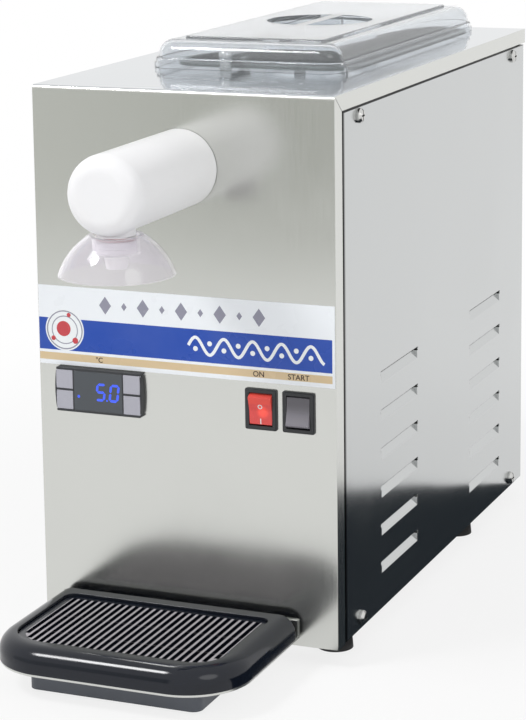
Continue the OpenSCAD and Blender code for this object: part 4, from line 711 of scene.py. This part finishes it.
class WHIPPER_OT_switches(bpy.types.Operator):
    """The two rocker switches and the marks on the red one"""
    bl_idname = "whipper.switches"
    bl_label = "Rocker switches"

    FRONT_MID, FRONT_END, REACH, TILT = 5.6 * MM, 7.0 * MM, 13.2 * MM, 9 * DEGREE
    EDGE = 0.6 * MM
    SHADE_HALF = 8 * MM
    PALE_FROM, PALE_TO = 4.0 * MM, 5.6 * MM
    LAMP_ASIDE, LAMP_NEAR, LAMP_FAR = 2 * MM, 1.0 * MM, 7.5 * MM
    OFF_MARK_UP, ON_MARK_DOWN, BAR_WIDER = 3.6 * MM, 8.8 * MM, 1.15

    def on_face(self, pivot, upper):
        """From the plane of a mark to the upper or lower half of the tilted red rocker."""
        rise = (self.FRONT_END - self.FRONT_MID) * (-1 if upper else 1)
        along = Vector((0, rise, self.REACH)).normalized()
        out = Vector((0, along.z, -along.y))
        half = Matrix((Vector((1, 0, 0)), out, along)).transposed().to_4x4()
        half.translation = (0, -self.FRONT_MID, 0)
        return Matrix.Translation(pivot) @ Matrix.Rotation(self.TILT, 4, "X") @ half

    def black_rocker(self, tint, middle):
        """Black moulding, darker towards its upper end: painted shade on the upper half and painted light
        on the lower half that stands out.
        """
        material, net, shader = new_material("rocker_black")
        grain = net.group("moulded_grain", Scale=1700.0)
        edges = net.group("soft_edges", Radius=self.EDGE)
        upper = net.group("height_band", Low=middle - self.SHADE_HALF, High=middle + self.SHADE_HALF)
        # Painted light and shade: the lower half is 2.2 times lighter, the upper half a little darker.
        tone = net.mix(upper["Mask"], shade(tint, 2.2), shade(tint, 0.95))
        cover(net, shader, net.mix(edges["Edge"], tone, shade(tint, 1.8)),
              net.remap(grain["Tone"], 0.28, 0.36),
              net.bump(grain["Height"], 0.06, normal=edges["Normal"]))
        return material

    def red_rocker(self, tint, glow, low, high):
        """Red translucent moulding with the glow of the lamp behind it."""
        material, net, shader = new_material("rocker_red")
        middle = (low + high) / 2
        grain = net.group("moulded_grain", Scale=1500.0)
        edges = net.group("soft_edges", Radius=self.EDGE)
        tone = net.mix(grain["Tone"], shade(tint, 0.92), shade(tint, 1.06))
        upper = net.group("height_band", Low=middle.z + self.PALE_FROM, High=middle.z + self.PALE_TO)
        paler = net.mix(net.math("MULTIPLY", upper["Mask"], 0.3), tone, glow)
        lamp = (middle.x + self.LAMP_ASIDE, low.y, middle.z - self.LAMP_ASIDE)
        away = net.add("ShaderNodeVectorMath", {0: net.place(), 1: lamp}, operation="DISTANCE")
        lit = net.remap(away.outputs["Value"], 1.0, 0.0, self.LAMP_NEAR, self.LAMP_FAR, smooth=True)
        net.feed(shader["Emission Color"], net.mix(lit, shade(tint, 0.1), glow))
        shader["Emission Strength"].default_value = 0.62
        cover(net, shader, net.mix(edges["Edge"], paler, shade(tint, 1.3)),
              net.remap(grain["Tone"], 0.24, 0.34),
              net.bump(grain["Height"], 0.03, normal=edges["Normal"]))
        return material

    def execute(self, context):
        finish, size = context.scene.whipper_finishes, context.scene.whipper_print
        dress(moulding("switch_black", finish.switch, 0.36, scale=1500.0, worn=1.5),
              "on_switch_frame", "start_switch_frame")
        low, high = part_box("on_rocker")
        dress(self.black_rocker(finish.dark_rocker, (low.z + high.z) / 2), "start_rocker")
        dress(self.red_rocker(finish.red_rocker, finish.glow, low, high), "on_rocker")
        legend = moulding("mark_white", finish.legend, 0.4, scale=1500.0, depth=0.03,
                          edge=0.05 * MM, worn=1.0, drift=0.03)
        joint = next(j for j in frame["joints"] if j["name"] == "on_tilt")
        pivot = Vector(joint["pos_m"])
        inner = size.ring_radius - size.mark_stroke
        off_mark = ring((0, self.OFF_MARK_UP), size.ring_radius, inner, 40)
        flat_piece("rocker_off_mark", off_mark, 0, legend, "on_rocker",
                   matrix=self.on_face(pivot, True))
        side = size.mark_stroke * self.BAR_WIDER / 2
        foot, head = (-self.ON_MARK_DOWN + end * size.bar_height / 2 for end in (-1, 1))
        on_mark = [(-side, foot), (side, foot), (side, head), (-side, head)]
        flat_piece("rocker_on_mark", [on_mark], 0, legend, "on_rocker",
                   matrix=self.on_face(pivot, False))
        return {"FINISHED"}


class WHIPPER_OT_dispenser(bpy.types.Operator):
    """Dispensing head, bell, nozzle, seals and spigot"""
    bl_idname = "whipper.dispenser"
    bl_label = "Dispensing head"

    def execute(self, context):
        finish = context.scene.whipper_finishes
        dress(moulding("head_white", finish.head, 0.3, scale=1400.0, depth=0.03, edge=1.0 * MM,
                       worn=1.05, drift=0.02, coat=0.15, subsurface=0.12), "dispensing_head")
        dress(moulding("nozzle_white", finish.nozzle, 0.38), "labyrinth_insert", "star_nozzle")
        dress(moulding("seal_red", finish.seal, 0.45, scale=1200.0, depth=0.06), "spigot_seal", "bell_seal")
        dress(clear_plastic("bell_clear", finish.milky, 0.05, 0.8), "bell")
        frame["nodes"]["bell"].visible_shadow = False
        # The bell and what is in it would show as a dark patch in the front sheet.
        for node in ("bell", "bell_seal", "star_nozzle"):
            frame["nodes"][node].visible_glossy = False
        dress(satin_steel("spigot_steel", finish.turned, 0.22, LENGTHWISE, edge=0.4 * MM),
              "outlet_spigot")
        return {"FINISHED"}


class WHIPPER_OT_container(bpy.types.Operator):
    """Lid, cream container, dip tube and cooled well"""
    bl_idname = "whipper.container"
    bl_label = "Lid and container"

    def execute(self, context):
        finish = context.scene.whipper_finishes
        dress(clear_plastic("lid_clear", finish.clear, 0.02, 0.9), "lid")
        frame["nodes"]["lid"].visible_shadow = False
        # Painted shade: the container's steel is dark, for the shade under the lid.
        dress(satin_steel("container_steel", finish.shaded, 0.24, LENGTHWISE), "cream_container")
        dress(satin_steel("tube_steel", finish.turned, 0.2, UPRIGHT, edge=0.3 * MM), "dip_tube",
              "suction_pipe")
        dress(satin_steel("well_steel", finish.sheet, 0.3, UPRIGHT), "cooling_well")
        dress(cellular("well_foam", finish.foam), "well_insulation")
        dress(tarnished("coil_copper", finish.copper, 0.25), "evaporator_coil")
        return {"FINISHED"}


class WHIPPER_OT_drip_tray(bpy.types.Operator):
    """Drip tray with its glossy rim and matt pan, and the grid"""
    bl_idname = "whipper.drip_tray"
    bl_label = "Drip tray"

    BORDER = 5.5 * MM
    CORNER = 28 * MM
    RIM_FROM, RIM_TO = 1.8 * MM, 2.2 * MM

    def grid(self, finish):
        """Black moulding whose bars carry a painted highlight on top, inside a black border with round
        front corners."""
        material, net, shader = new_material("grid_black")
        low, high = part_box("tray_grid")
        x, y, _ = net.axes()
        inside = net.group("facing_up")["Mask"]
        middle = (low + high) / 2
        across = net.math("ABSOLUTE", net.math("SUBTRACT", x, middle.x))
        along = net.math("ABSOLUTE", net.math("SUBTRACT", y, middle.y))
        for place, reach in ((across, high.x - middle.x), (along, high.y - middle.y)):
            inside = net.math("MULTIPLY", inside, net.math("LESS_THAN", place, reach - self.BORDER))
        beside = net.math("SUBTRACT", across, high.x - middle.x - self.CORNER)
        before = net.math("SUBTRACT", low.y + self.CORNER, y)
        squares = [net.math("POWER", net.math("MAXIMUM", part, 0.0), 2.0) for part in (beside, before)]
        away = net.math("SQRT", net.math("ADD", *squares))
        inside = net.math("MULTIPLY", inside, net.math("LESS_THAN", away, self.CORNER - self.BORDER))
        grain = net.group("moulded_grain", Scale=1500.0)
        # Painted highlight: the tops of the bars are light grey.
        bar_highlight = net.mix(grain["Tone"], shade(finish.grid, 0.8), shade(finish.grid, 1.1))
        cover(net, shader, net.mix(inside, finish.tray_rim, bar_highlight),
              net.remap(grain["Tone"], 0.16, 0.26), net.bump(grain["Height"], 0.04))
        return material

    def execute(self, context):
        finish = context.scene.whipper_finishes
        material, net, shader = new_material("tray_black")
        grain = net.group("moulded_grain", Scale=1500.0)
        edges = net.group("soft_edges", Radius=1.2 * MM)
        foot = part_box("tray_support")[0].z
        rim = net.group("height_band", Low=foot + self.RIM_FROM, High=foot + self.RIM_TO)["Mask"]
        tone = net.mix(grain["Tone"], shade(finish.tray_pan, 0.92), shade(finish.tray_pan, 1.08))
        tint = net.mix(rim, tone, finish.tray_rim)
        tint = net.mix(edges["Edge"], tint, shade(finish.tray_rim, 1.5))
        shader["Specular IOR Level"].default_value = 0.4
        wiped = net.group("smudges", Scale=26.0, Low=0.4, High=0.75)["Mask"]
        gloss = net.math("ADD", net.remap(rim, 0.5, 0.09), net.math("MULTIPLY", wiped, 0.06))
        cover(net, shader, tint, gloss, net.bump(grain["Height"], 0.04, normal=edges["Normal"]))
        dress(material, "drip_tray")
        dress(self.grid(finish), "tray_grid")
        return {"FINISHED"}


class WHIPPER_OT_pump(bpy.types.Operator):
    """Gear pump, coupling and drive motor"""
    bl_idname = "whipper.pump"
    bl_label = "Pump and drive"

    def execute(self, context):
        finish = context.scene.whipper_finishes
        dress(satin_steel("pump_steel", finish.turned, 0.26, COARSE_EVEN),
              "pump_body", "pump_cover", "motor_shaft", "drive_coupling")
        dress(moulding("gear_white", finish.nozzle, 0.4, scale=1500.0), "drive_gear", "driven_gear")
        dress(satin_steel("bracket_steel", finish.sheet, 0.32, LENGTHWISE), "motor_bracket",
              "motor_shelf")
        dress(moulding("motor_paint", finish.machine_grey, 0.4, scale=700.0, depth=0.1), "gear_motor")
        return {"FINISHED"}


class WHIPPER_OT_cooling(bpy.types.Operator):
    """Compressor, condenser, fan and pipes"""
    bl_idname = "whipper.cooling"
    bl_label = "Cooling unit"

    FIN_PITCH = 2.2 * MM

    def fins(self, tint):
        material, net, shader = new_material("condenser_fins")
        shader["Metallic"].default_value = 1.0
        across = net.axes()["X"]
        wave = net.math("SINE", net.math("MULTIPLY", across, 2 * math.pi / self.FIN_PITCH))
        groove = net.remap(wave, 0.0, 1.0, -0.2, 0.9)
        dust = net.group("smudges", Scale=30.0, Low=0.4, High=0.8)["Mask"]
        # Painted shade: dark stripes in the grooves between the fins.
        cover(net, shader, net.mix(groove, shade(tint, 0.25), tint), net.remap(dust, 0.3, 0.5),
              net.bump(groove, 0.4, 0.5 * MM))
        return material

    def execute(self, context):
        finish = context.scene.whipper_finishes
        dress(moulding("compressor_paint", finish.machine_black, 0.34, scale=600.0, depth=0.12),
              "compressor")
        dress(moulding("mount_rubber", finish.rubber, 0.65, scale=900.0, depth=0.12),
              "compressor_grommets")
        dress(self.fins(finish.aluminium), "condenser")
        dress(moulding("fan_black", finish.housing, 0.45, scale=1300.0), "fan_shroud", "fan_blade")
        dress(satin_steel("fan_bracket_steel", finish.sheet, 0.34, LENGTHWISE), "fan_bracket")
        dress(moulding("fan_motor_paint", finish.machine_grey, 0.42, scale=700.0, depth=0.1), "fan_motor")
        dress(tarnished("pipe_copper", finish.copper, 0.26), "filter_drier", "refrigerant_pipes")
        return {"FINISHED"}


class WHIPPER_OT_stage(bpy.types.Operator):
    """Pale floor, soft lamps, cards for the reflections, and the camera"""
    bl_idname = "whipper.stage"
    bl_label = "Stage"

    AIM = (0, 0, 0.25)
    KEY_PLACE, KEY_SIZE = (-1.4, -1.6, 2.8), 0.8
    FILL_PLACE, FILL_SIZE = (2.2, -1.6, 1.9), 1.6
    FLOOR_REACH, FLOOR_TINT = 8.0, (0.86, 0.86, 0.86)
    FLOOR_NEAR, FLOOR_FAR, FLOOR_WHITE = 0.35, 1.1, 0.8
    WHITE = (1, 1, 1)
    GREY_CARD = ((-2.6, -1.1, 0.002), (-0.3, -1.75, 0.002), (-0.3, -1.75, 0.6), (-2.6, -1.1, 0.6))
    GREY_LEFT, GREY_RIGHT, GREY_SPAN = (0.68, 0.69, 0.66), (0.47, 0.48, 0.45), (-0.8, -0.45)
    DARK_CARD = ((0.118, -0.3, 0.004), (0.75, -0.3, 0.004), (0.75, 0.06, 0.004), (0.118, 0.36, 0.004))
    DARK = (0.026, 0.032, 0.038)

    def bare(self, owner):
        """The emptied node tree of a material or world."""
        owner.use_nodes = True
        owner.node_tree.nodes.clear()
        return Net(owner.node_tree)

    def seen(self, net):
        """1 for what the camera sees directly, mirrored or through clear plastic."""
        path = net.add("ShaderNodeLightPath").outputs
        direct = net.math("MAXIMUM", path["Is Camera Ray"], path["Is Glossy Ray"])
        return net.math("MAXIMUM", direct, path["Is Transmission Ray"])

    def sheet(self, name, corners, material):
        mesh = bpy.data.meshes.new(name)
        mesh.from_pydata(corners, [], [(0, 1, 2, 3)])
        mesh.materials.append(material)
        piece = add_object(name, mesh)
        return piece

    def card(self, name, corners, tint, span=None, far_tint=None):
        """A card that only shows in reflections, of one tint or going over to another along X."""
        material = bpy.data.materials.new(name)
        net = self.bare(material)
        if span is not None:
            across = net.axes()[0]
            tint = net.mix(net.remap(across, 0.0, 1.0, *span), tint, far_tint)
        glow = net.add("ShaderNodeEmission", {"Color": tint})
        net.add("ShaderNodeOutputMaterial", {"Surface": glow.outputs[0]})
        piece = self.sheet(name, corners, material)
        for sees in ("camera", "diffuse", "transmission", "shadow", "volume_scatter"):
            setattr(piece, "visible_" + sees, False)

    def floor(self):
        material = bpy.data.materials.new("pale_floor")
        net = self.bare(material)
        matt = net.add("ShaderNodeBsdfDiffuse", {"Color": self.FLOOR_TINT})
        white = net.add("ShaderNodeEmission", {"Color": self.WHITE, "Strength": 1.0})
        away = net.add("ShaderNodeVectorMath", {0: net.place()}, operation="LENGTH").outputs["Value"]
        share = net.remap(away, self.FLOOR_WHITE, 1.0, self.FLOOR_NEAR, self.FLOOR_FAR, smooth=True)
        both = net.add("ShaderNodeMixShader", {0: net.math("MULTIPLY", self.seen(net), share),
                                               1: matt.outputs[0], 2: white.outputs[0]})
        net.add("ShaderNodeOutputMaterial", {"Surface": both.outputs[0]})
        far = self.FLOOR_REACH
        self.sheet("floor", [(-far, -far, 0), (far, -far, 0), (far, far, 0), (-far, far, 0)], material)

    def sky(self, scene, strength):
        world = bpy.data.worlds.new("studio")
        scene.world = world
        net = self.bare(world)
        level = net.remap(self.seen(net), strength, 1.0)
        light = net.add("ShaderNodeBackground", {"Color": self.WHITE, "Strength": level})
        net.add("ShaderNodeOutputWorld", {"Surface": light.outputs[0]})

    def lamp(self, name, place, target, power, size):
        data = bpy.data.lights.new(name, "AREA")
        data.energy, data.shape, data.size = power, "DISK", size
        piece = add_object(name, data)
        piece.location = place
        piece.rotation_euler = (Vector(target) - Vector(place)).to_track_quat("-Z", "Y").to_euler()

    def view(self, scene, stage):
        data = bpy.data.cameras.new("view")
        data.sensor_width = 36
        data.lens, data.shift_y = stage.lens, stage.shift
        data.clip_start, data.clip_end = 0.05, 60
        sin_yaw, cos_yaw = math.sin(stage.yaw), math.cos(stage.yaw)
        sin_pitch, cos_pitch = math.sin(stage.pitch), math.cos(stage.pitch)
        ahead = Vector((-sin_yaw * cos_pitch, cos_yaw * cos_pitch, -sin_pitch))
        right = Vector((cos_yaw, sin_yaw, 0))
        up = right.cross(ahead)
        cos_roll, sin_roll = math.cos(stage.roll), math.sin(stage.roll)
        right, up = cos_roll * right + sin_roll * up, cos_roll * up - sin_roll * right
        camera = add_object("view", data)
        pose = Matrix((right, up, -ahead)).transposed().to_4x4()
        pose.translation = stage.camera
        camera.matrix_world = pose
        scene.camera = camera

    def execute(self, context):
        scene, stage = context.scene, context.scene.whipper_stage
        scene.view_settings.view_transform = "Standard"
        self.floor()
        self.sky(scene, stage.sky)
        self.lamp("key_lamp", self.KEY_PLACE, self.AIM, stage.key, self.KEY_SIZE)
        self.lamp("fill_lamp", self.FILL_PLACE, self.AIM, stage.fill, self.FILL_SIZE)
        self.card("grey_card", self.GREY_CARD, self.GREY_LEFT, self.GREY_SPAN, self.GREY_RIGHT)
        self.card("dark_card", self.DARK_CARD, self.DARK)
        self.view(scene, stage)
        return {"FINISHED"}


OPERATORS = (WHIPPER_OT_cabinet, WHIPPER_OT_printed_strip, WHIPPER_OT_controller, WHIPPER_OT_switches,
             WHIPPER_OT_dispenser, WHIPPER_OT_container, WHIPPER_OT_drip_tray, WHIPPER_OT_pump,
             WHIPPER_OT_cooling, WHIPPER_OT_stage)


class WHIPPER_PT_panel(bpy.types.Panel):
    """Lists the steps that dress the machine"""
    bl_idname = "WHIPPER_PT_panel"
    bl_label = "Cream whipper"
    bl_space_type = "VIEW_3D"
    bl_region_type = "UI"
    bl_category = "Whipper"

    def draw(self, context):
        for step in OPERATORS:
            self.layout.operator(step.bl_idname)


GROUPED = (WhipperFinishes, WhipperPrint, WhipperStage)
CLASSES = GROUPED + OPERATORS + (WHIPPER_PT_panel,)


def register():
    for cls in CLASSES:
        bpy.utils.register_class(cls)
    bpy.types.Scene.whipper_finishes = PointerProperty(type=WhipperFinishes)
    bpy.types.Scene.whipper_print = PointerProperty(type=WhipperPrint)
    bpy.types.Scene.whipper_stage = PointerProperty(type=WhipperStage)


def unregister():
    for name in ("whipper_finishes", "whipper_print", "whipper_stage"):
        delattr(bpy.types.Scene, name)
    for cls in reversed(CLASSES):
        bpy.utils.unregister_class(cls)


def main():
    register()
    for step in OPERATORS:
        group, name = step.bl_idname.split(".")
        getattr(getattr(bpy.ops, group), name)()


if __name__ == "__main__":
    main()
